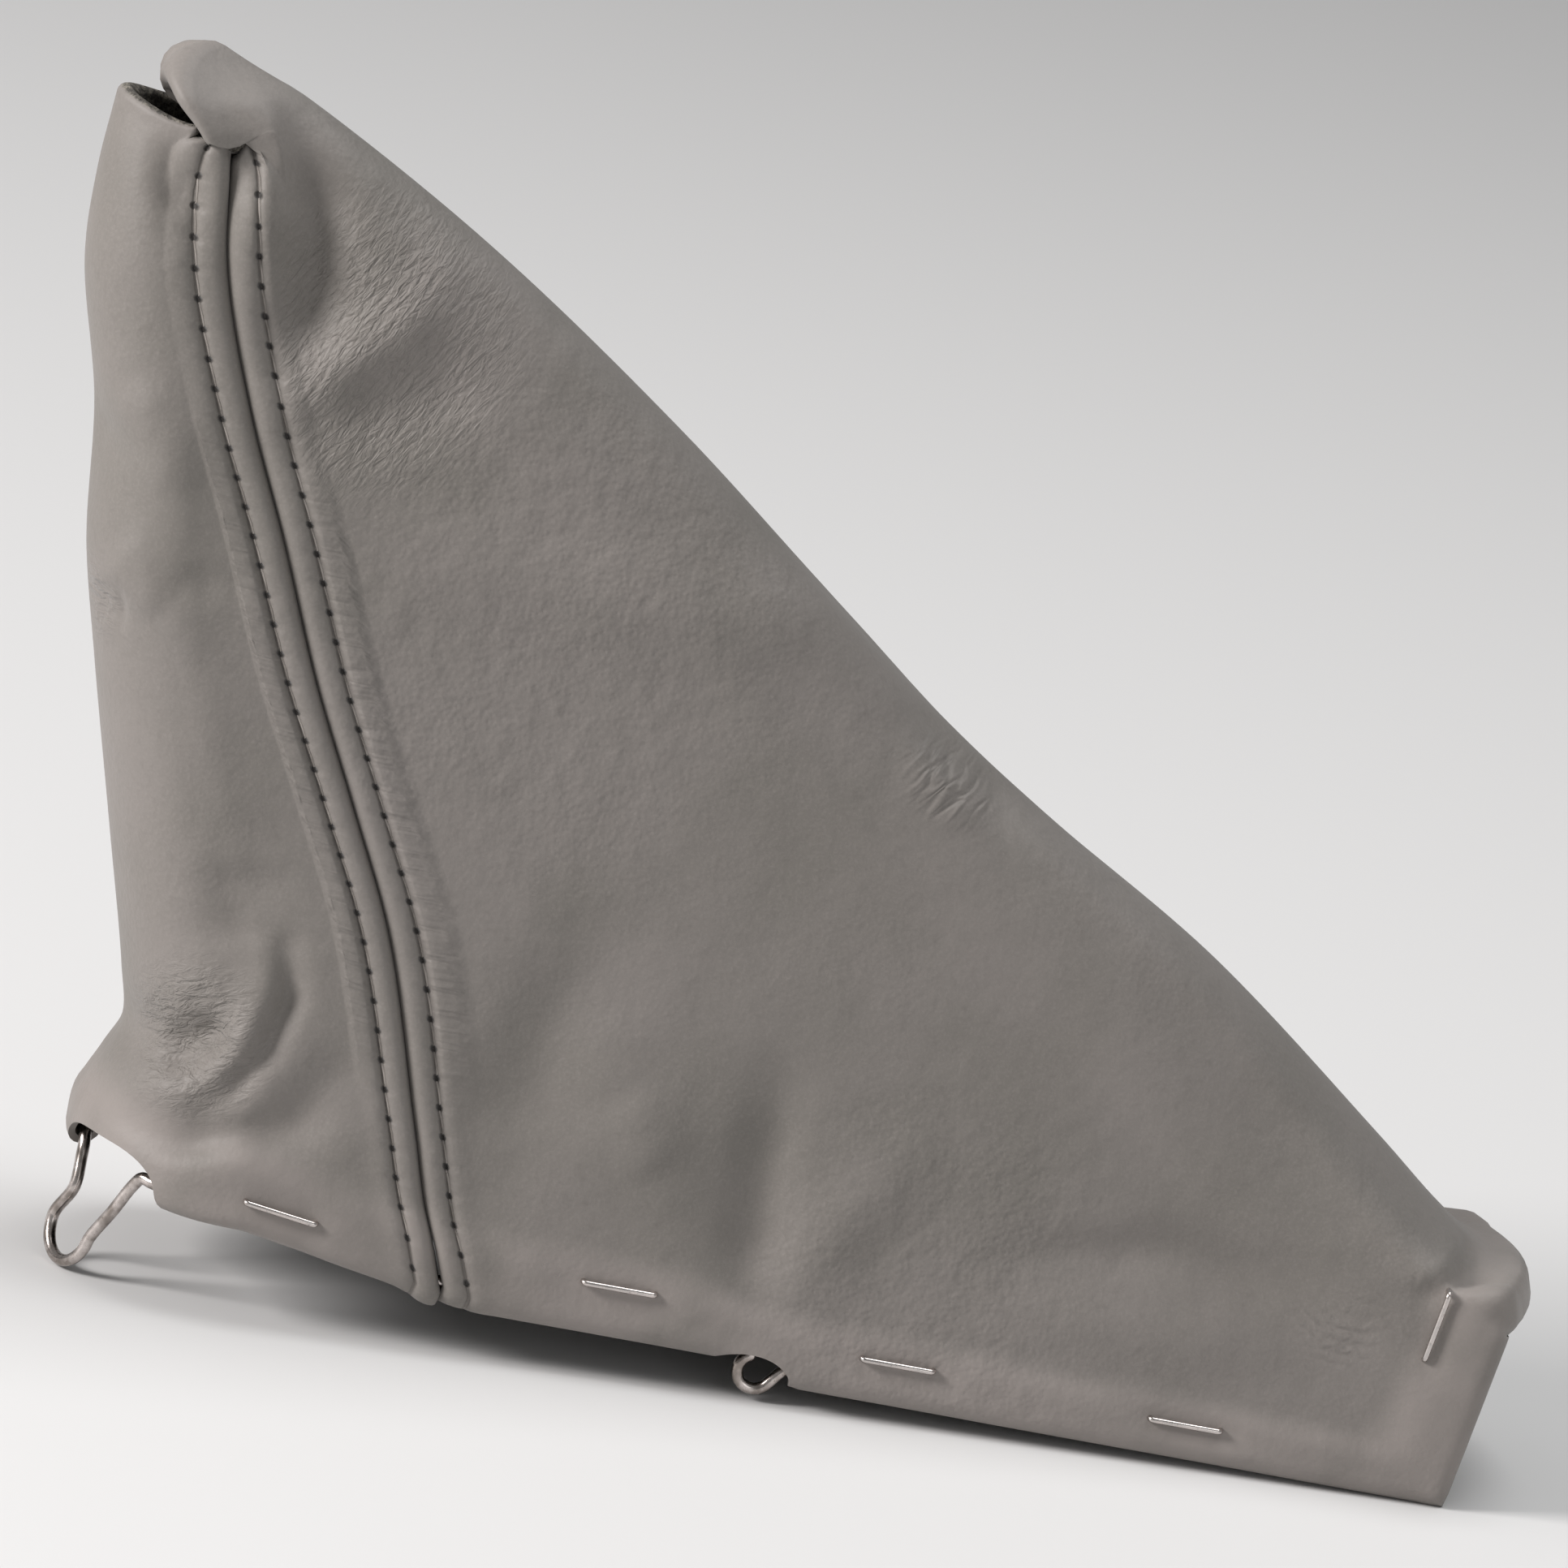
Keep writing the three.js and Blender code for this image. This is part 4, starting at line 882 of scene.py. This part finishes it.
def leather_finish():
    m = Finish("boot_leather")
    where = m.place()
    away, run = m.split_map("seam")
    flesh, _ = m.split_map("side")

    # Needle holes with a small crease on each side, and the groove pulled in between the strips
    hole_along = abs((run % STITCH_PITCH) - STITCH_PITCH / 2)
    hole_across = abs(away - STITCH_AWAY)
    hole_away = m.math("SQRT", hole_along * hole_along + hole_across * hole_across)
    hole = 1 - m.between(hole_away, 0.3, 0.72)
    pull = (1 - m.between(hole_along, 0.2, 1.1)) * (1 - m.between(hole_across, 0.6, 2.6))
    crease = 1 - m.between(hole_across, 0.1, 0.45)

    # Fine pebbles all over, plainer where the leather is stretched
    worn = m.between(m.noise(where, 45.0, 3.0), 0.38, 0.64)
    pebble = m.cells(where, 1150.0)
    fine = m.noise(where, 2100.0, 2.0)
    grain = pebble * (0.35 + 0.65 * worn) + fine * 0.4
    soft = m.noise(where, 95.0, 2.0, 0.45)
    ripple = m.noise(where, 260.0, 2.0, 0.5)

    # Wrinkled places: beside the mouth, across the middle, by the front slope, the post and the rear hem
    lip = m.spot(where, (-203, -14, 158), 10, 30) * m.between(away, 4.6, 8.0)
    lip_grain = m.noise(m.stretched(where, 57, 3.4), 300.0, 3.0, 0.55, 0.6)
    slope = m.spot(where, (-98, -12, 106), 4, 12)
    slope_grain = m.noise(m.stretched(where, 42, 3.6), 150.0, 1.0, 0.5, 0.6)
    post = m.spot(where, (-22, -24, 27), 2, 10)
    from_post = m.node("VectorMath", {"operation": "SUBTRACT"}, {0: where, 1: metres((-20, -24, 43))})
    post_rings = m.node("TexWave", {"wave_type": "RINGS", "rings_direction": "SPHERICAL"}, {
        "Vector": from_post, "Scale": 150.0, "Distortion": 7.0, "Detail": 3.0, "Detail Scale": 1.2,
    }, 1)
    pinch = m.spot(where, (-210, -19, 44), 6, 17)
    pinch_grain = m.noise(m.stretched(where, 25, 2.6), 300.0, 3.0, 0.6, 0.7)
    rear = m.spot(where, (-238, -8, 109), 3, 9)
    rear_grain = m.noise(m.stretched(where, 5, 4.0), 230.0, 2.0, 0.5, 0.4)
    middle = m.spot(where, (-170, -20, 118), 20, 52)
    hem = m.spot(where, (-88, -25, 26), 14, 38)

    # Short puckers that the stitches draw in the leather beside the seam
    puckers = m.noise(m.node("CombineXYZ", {}, {0: away * 0.05, 1: run * 0.42, 2: 0.0}), 1.0, 2.0, 0.5, 0.3)
    beside = m.between(away, 4.6, 6.2) * (1 - m.between(away, 9.0, 20.0))
    beside = beside * m.between(run, 28.0, 45.0) * (1 - m.between(run, 118.0, 150.0))

    light = m.blend(m.between(m.noise(where, 30.0, 2.0), 0.3, 0.7), srgb(114, 110, 105), srgb(123, 118, 114))
    base = m.blend(m.between(fine, 0.4, 0.8) * 0.3, light, srgb(137, 131, 127))
    base = m.blend(m.between(pebble, 0.45, 0.9) * 0.16, base, srgb(88, 83, 79))
    # Painted light: the hem is painted lighter in noisy patches, standing in for light bounced up from the
    # floor
    hem_painted_light = (1 - m.between(run, 8.5, 15.0)) * m.between(m.noise(where, 60.0, 2.0), 0.2, 0.6)
    base = m.blend(hem_painted_light * 0.75, base, srgb(139, 132, 128))
    # Painted shade: the crease along the row of stitches is painted darker
    base = m.blend(crease * 0.35, base, srgb(84, 79, 74))
    # Painted shade: the needle holes are painted nearly black, as the shade inside them
    base = m.blend(hole * 0.92, base, srgb(34, 31, 29))
    fibres = m.between(m.noise(where, 800.0, 4.0, 0.7), 0.35, 0.65)
    suede = m.blend(fibres, srgb(62, 58, 53), srgb(134, 129, 119))
    colour = m.blend(flesh, base, suede)
    rough = 0.5 + 0.14 * fine + flesh * 0.35

    # Heights in millimetres
    height = grain * 0.06 + soft * 0.5 + ripple * 0.12 + pull * -0.12 + crease * -0.12 + hole * -0.5
    height = height + lip * lip_grain * 0.85 + lip * pebble * 0.08 + slope * slope_grain * 1.3
    height = height + post * post_rings * 0.2 + pinch * pinch_grain * 1.1 + rear * rear_grain * 1.0
    height = height + (middle + hem) * (pebble * 0.05 + ripple * 0.3) + beside * puckers * 0.9
    height = height * (1 - flesh) + flesh * fibres * 0.45
    normal = m.bump(height, MM, 1.0)
    return m.surface(
        Base_Color=colour, Roughness=rough, Normal=normal, Specular_IOR_Level=0.38, Sheen_Weight=0.1,
        Sheen_Roughness=0.5,
    )


def steel_finish(name, tone):
    m = Finish(name)
    where = m.place()
    streak = m.noise(where, 420.0, 2.0)
    # Brown spots: partly the steel's own spots, partly painted dark reflection, made larger than the real
    # spots
    brown_spots_and_dark_reflection = m.between(m.noise(where, 1300.0, 3.0, 0.6), 0.56, 0.76)
    colour = m.blend(m.between(streak, 0.3, 0.7), srgb(*tone), srgb(206, 198, 194))
    colour = m.blend(brown_spots_and_dark_reflection * 0.4, colour, srgb(84, 70, 64))
    rough = 0.16 + 0.14 * streak + 0.25 * brown_spots_and_dark_reflection
    normal = m.bump(streak + brown_spots_and_dark_reflection * -0.5, 0.015 * MM, 0.4)
    return m.surface(Base_Color=colour, Roughness=rough, Metallic=1.0, Normal=normal)


def thread_finish():
    m = Finish("grey_thread")
    where = m.place()
    fibre = m.noise(where, 2600.0, 2.0)
    # Painted highlight: lighter patches along the thread
    painted_highlight_patch = m.between(m.noise(where, 140.0, 2.0), 0.45, 0.6)
    colour = m.blend(fibre, srgb(96, 91, 86), srgb(134, 128, 122))
    colour = m.blend(painted_highlight_patch * 0.5, colour, srgb(168, 162, 156))
    return m.surface(Base_Color=colour, Roughness=0.6 + 0.2 * fibre, Normal=m.bump(fibre, 0.1 * MM, 0.6))


LEATHER_FINISH = leather_finish()
WIRE_FINISH = steel_finish("frame_steel", (142, 134, 128))
STAPLE_FINISH = steel_finish("staple_steel", (190, 185, 182))
THREAD_FINISH = thread_finish()


def dress(piece, finish):
    piece.data.materials.clear()
    piece.data.materials.append(finish)
    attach(piece, "root")


# Columns of a panel: distances from the seam, spacing along the hem, and the wall's rows
SEAM_AWAY = [
    SEAM_EDGE, 0.35, 0.6, 0.85, 1.2, 1.7, 2.3, 2.9, 3.4, 3.8, 4.1, 4.35, 4.5, 4.65, 4.9, 5.2, 5.7, 6.4, 7.3,
]
MAIN_SPACING = 2.0
BEND_SPACING = 0.45
CROSSBAR_SPACING = 0.8
BEND_REACH = 1.4
BACK_COLUMNS = 50
MAIN_ROWS = 114
BACK_ROWS = 120


def columns_of(parts):
    """Distances from the seam, and parts of the way to the middle, of all columns of a panel."""
    away = [*SEAM_AWAY, *[SEAM_COLUMNS_END] * (len(parts) + 1)]
    part = [*[0.0] * (len(SEAM_AWAY) + 1), *parts]
    return away, part


def main_parts(spacing):
    """Columns of the main panel, closer together where the hem turns the front corners."""
    seam = SEAM_SHARE[0] + SEAM_COLUMNS_END / HALF_GIRTH[0]
    foot = share_near(FOOT_CORNER)
    post = share_near(POST_CORNER)
    bend = BEND_REACH * FRAME_BEND / ROUTE_LENGTH
    marks = [seam, foot - bend, foot + bend, post - bend, post + bend, 1.0]
    at_bend = spacing * BEND_SPACING
    steps = [spacing, at_bend, spacing, at_bend, spacing * CROSSBAR_SPACING]
    parts = []
    for start, end, step in zip(marks, marks[1:], steps):
        count = max(2, round((end - start) * ROUTE_LENGTH / step))
        shares = mix(start, end, np.arange(1, count + 1) / count)
        parts.extend((shares - seam) / (1 - seam))
    return parts


def notch_cutter(place, out, width, height, squareness=1.0):
    """A drum, square to the hem, that takes the notch out of it: oval, or nearly square below 1."""
    sides = 48
    a = np.linspace(0, 2 * math.pi, sides, endpoint=False)
    out = unit(np.array(out, float))
    across = np.cross([0, 0, 1.0], out)
    wide = np.sign(np.cos(a)) * np.abs(np.cos(a)) ** squareness
    tall = np.sign(np.sin(a)) * np.abs(np.sin(a)) ** squareness
    oval = np.outer(wide * width / 2, across) + np.outer(tall * height, [0, 0, 1.0])
    depth = 2.5 * HEM_REACH
    points = np.concatenate([place + oval - out * depth, place + oval + out * depth])
    faces = [[k, (k + 1) % sides, sides + (k + 1) % sides, sides + k] for k in range(sides)]
    faces += [list(range(sides))[::-1], list(range(sides, 2 * sides))]
    return mesh_object("notch_cutter", points, faces)


def cut_away(piece, cutters):
    for cutter in cutters:
        modifier = piece.modifiers.new("notch", "BOOLEAN")
        modifier.operation = "DIFFERENCE"
        modifier.solver = "MANIFOLD"
        modifier.object = cutter
    graph = bpy.context.evaluated_depsgraph_get()
    cut = piece.evaluated_get(graph)
    shaped = bpy.data.meshes.new_from_object(cut, preserve_all_data_layers=True, depsgraph=graph)
    piece.modifiers.clear()
    piece.data = shaped
    for cutter in cutters:
        bpy.data.objects.remove(cutter)


main_panel = panel("leather_main", *columns_of(main_parts(MAIN_SPACING)), True, MAIN_ROWS)
back_parts = np.arange(1, BACK_COLUMNS + 1) / BACK_COLUMNS
back_panel = panel("leather_back", *columns_of(back_parts), False, BACK_ROWS)

# Notches in the hem where the wire's eyes and tongue come out: width, height and squareness
EYELET_NOTCH = (14.4, 4.6)
TONGUE_NOTCH = (26, 8, 0.7)
tongue_middle = (TONGUE_FAR + TONGUE_NEAR) / 2
tongue_place = rear_turn(tongue_middle + 3, rear_height(tongue_middle) - HEM_REACH - 1)
tongue_out = [tongue_place[0] - REAR_X, tongue_place[1], 0]
eyelet_place = rail(EYELET_X - 1.6, EYELET_RAIL - HEM_REACH - 2.6)
cut_away(main_panel, [
    notch_cutter(eyelet_place, (0, -1, 0), *EYELET_NOTCH),
    notch_cutter(eyelet_place * FAR_SIDE, (0, 1, 0), *EYELET_NOTCH),
])
cut_away(back_panel, [notch_cutter(tongue_place, tongue_out, *TONGUE_NOTCH)])
for piece, node in ((main_panel, "main_panel"), (back_panel, "back_panel")):
    soften(piece)
    dress(piece, LEATHER_FINISH)
    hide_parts(node)


def tongue_rear():
    """The tongue: the wire leaves the rear arc, hangs down in a loop and comes back."""
    start = rear_turn(TONGUE_FAR, rear_height(TONGUE_FAR))
    end = rear_turn(TONGUE_NEAR, rear_height(TONGUE_NEAR))
    along = unit((end - start) * [1, 1, 0])
    out = np.array([along[1], -along[0], 0])
    if out[0] > 0:
        out = -out
    middle = (start + end) / 2
    drop = middle[2] - WIRE_RADIUS
    half = TONGUE_WIDTH / 2

    def place(across, down):
        point = middle + along * across + out * down * TONGUE_LEAN
        point[2] = middle[2] - down
        return point

    chain = [place(-half - TONGUE_SHIFT + a, d) for a, d in ((0.4, 1.2), (1.2, 3.4), (2.4, drop * 0.42))]
    for degrees in np.arange(0, 180.1, 22.5):
        a = math.radians(degrees)
        chain.append(place(-TONGUE_SHIFT - half * math.cos(a), drop - half + half * math.sin(a)))
    chain += [place(half - TONGUE_SHIFT + a, d) for a, d in ((3, drop * 0.4), (5.4, 2.4), (7, 0.6))]
    loop = Line([
        rear_turn(0, rear_height(0)),
        rear_turn(TONGUE_FAR * 0.7, rear_height(TONGUE_FAR)),
        *chain,
        rear_turn(TONGUE_NEAR + 3, rear_height(TONGUE_NEAR)),
        rear_turn(72, rear_height(72)),
        rear_turn(90, rear_height(90)),
    ], 6)
    return list(loop.points)


near_half = half_frame(tongue_rear(), True)
far_half = [p * FAR_SIDE for p in half_frame(PLAIN_REAR, True)][::-1]
near_half[-1] = near_half[-1] * [1, 0, 1] - [0, FRAME_JOINT / 2, 0]
far_half[0] = far_half[0] * [1, 0, 1] + [0, FRAME_JOINT / 2, 0]
frame_wire = tube("frame_wire", [*far_half[:-1], *near_half], WIRE)
dress(frame_wire, WIRE_FINISH)
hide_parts("wire_frame")


class HemSpots(Wall):
    """Columns that start at chosen shares of the base line, where the legs of a staple go through."""

    def __init__(self, shares, side):
        self.starts = np.array(shares)
        super().__init__([SEAM_COLUMNS_END] * len(shares), [1.0] * len(shares), True, side)

    def share(self, t):
        return mix(self.starts[:, None], STAPLE_COLUMN_END, t)


def staple_route(share, height, side):
    """Middle of a staple's wire: its crown lies over the hem and its legs are clenched inside."""
    away = (STAPLE_CROWN - STAPLE_WIRE) / 2
    step = np.array([-1, 0, 1]) * away / ROUTE_LENGTH
    places, outs, _ = HemSpots(share + step, side).at(np.full((3, 1), height - HEM_REACH))
    (start, centre, end), out = places[:, 0], outs[1, 0]
    along = unit(on_route(share + step[2]) - on_route(share + step[0]))
    if height == POST_STAPLE_HEIGHT:
        along = unit(POST_CORNER - FOOT_CORNER)
    out = unit(out - along * (out @ along))
    bulge = max(0, (centre - (start + end) / 2) @ out)
    middle = centre - out * bulge
    outer = bulge + LAYER_GAP + STAPLE_WIRE / 2
    inner = -(2 * LEATHER + 2 * LAYER_GAP + STAPLE_WIRE / 2)
    corners = [
        (-away + STAPLE_LEG, inner), (-away, inner), (-away, outer),
        (away, outer), (away, inner), (away - STAPLE_LEG, inner),
    ]
    return round_corners([middle + along * a + out * b for a, b in corners], STAPLE_WIRE * 0.7, 5)


for name, staples, side in (("near", NEAR_STAPLES, 1), ("far", FAR_STAPLES, -1)):
    for number, (share, height) in enumerate(staples, 1):
        route = [p * [1, side, 1] for p in staple_route(share, height, side)]
        staple = tube(f"steel_staple_{name}_{number}", route, STAPLE_WIRE, 12)
        dress(staple, STAPLE_FINISH)
        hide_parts(f"staple_{name}_{number}")


# How the thread lies from hole to hole: share of the way, depth in the leather and distance aslant
THREAD_LIE = (
    (0.0, 0.9, 0), (0.06, 0.35, 0.1), (0.16, 0.1, 0.3), (0.5, 0.0, 0.25), (0.86, 0.1, 0.1), (0.94, 0.35, 0),
)


def topstitch(name, forward, side):
    """A row of thread: from each hole it lies over the leather, a little aslant, to the next."""
    row = Wall([STITCH_AWAY], [0.0], forward, side)
    first = 1.5 * STITCH_PITCH
    count = int((row.total[0] - first - 3) // STITCH_PITCH)
    share, depth, slant = np.tile(THREAD_LIE, (count, 1)).T
    reach = first + (np.repeat(np.arange(count), len(THREAD_LIE)) + share) * STITCH_PITCH
    columns = Wall(STITCH_AWAY + (slant if forward else -slant), 0 * slant, forward, side)
    point, out, _ = columns.at(reach[:, None])
    route = (point - out * depth[:, None, None])[:, 0] * [1, side, 1]
    dress(tube(name, route, THREAD, 8), THREAD_FINISH)


for side_name, side in (("near", 1), ("far", -1)):
    topstitch(f"topstitch_{side_name}_front", True, side)
    topstitch(f"topstitch_{side_name}_back", False, side)


# The camera stands as the photograph's did: 6 degrees to the left, 15 up, and rolled.
AZIMUTH, ELEVATION, ROLL = (math.radians(a) for a in (-6.0, 15.0, 11.0145))
DISTANCE = 1.5
SENSOR = 36
LENS = 215.22
TARGET = Vector(metres((-124.22, 0, 95)))


def make_camera():
    flat = math.cos(ELEVATION)
    back = Vector((math.sin(AZIMUTH) * flat, -math.cos(AZIMUTH) * flat, math.sin(ELEVATION)))
    level = Vector((math.cos(AZIMUTH), math.sin(AZIMUTH), 0))
    rise = back.cross(level)
    right = level * math.cos(ROLL) + rise * math.sin(ROLL)
    up = rise * math.cos(ROLL) - level * math.sin(ROLL)
    camera = add_object("camera", bpy.data.cameras.new("camera"))
    turned = Matrix((right, up, back)).transposed().to_4x4()
    camera.matrix_world = Matrix.Translation(TARGET + back * DISTANCE) @ turned
    camera.data.sensor_fit = "HORIZONTAL"
    camera.data.sensor_width = SENSOR
    camera.data.lens = LENS
    bpy.context.scene.camera = camera


def make_stage():
    floor_mesh = bpy.data.meshes.new("floor")
    half = 8.0
    corners = [(-half, -half, 0), (half, -half, 0), (half, half, 0), (-half, half, 0)]
    floor_mesh.from_pydata(corners, [], [(0, 1, 2, 3)])
    floor = add_object("floor", floor_mesh)
    m = Finish("pale_floor")
    floor_mesh.materials.append(m.surface(Base_Color=(0.66, 0.66, 0.66, 1), Roughness=0.7))


def make_light(name, place, aim, size, power, tint=(1, 1, 1)):
    lamp = add_object(name, bpy.data.lights.new(name, "AREA"))
    lamp.data.shape = "RECTANGLE"
    lamp.data.size, lamp.data.size_y = size
    lamp.data.energy = power
    lamp.data.color = tint
    lamp.location = place
    lamp.rotation_euler = (Vector(aim) - Vector(place)).to_track_quat("-Z", "Y").to_euler()


def make_world():
    world = bpy.data.worlds.new("studio")
    bpy.context.scene.world = world
    world.use_nodes = True
    background = world.node_tree.nodes["Background"]
    background.inputs[0].default_value = (1, 1, 1, 1)
    background.inputs[1].default_value = 0.29


make_camera()
make_stage()
make_world()
make_light("key", (-1.7, -0.5, 1.0), (0, 0, 0.09), (0.6, 0.6), 46, (1.0, 0.965, 0.95))
make_light("top", (0.35, 0.1, 1.7), (0, 0, 0.09), (1.0, 1.0), 16)
make_light("front", (0.9, -1.7, 0.5), (0, 0, 0.08), (1.0, 0.8), 3)
bpy.context.scene.view_settings.view_transform = "Standard"
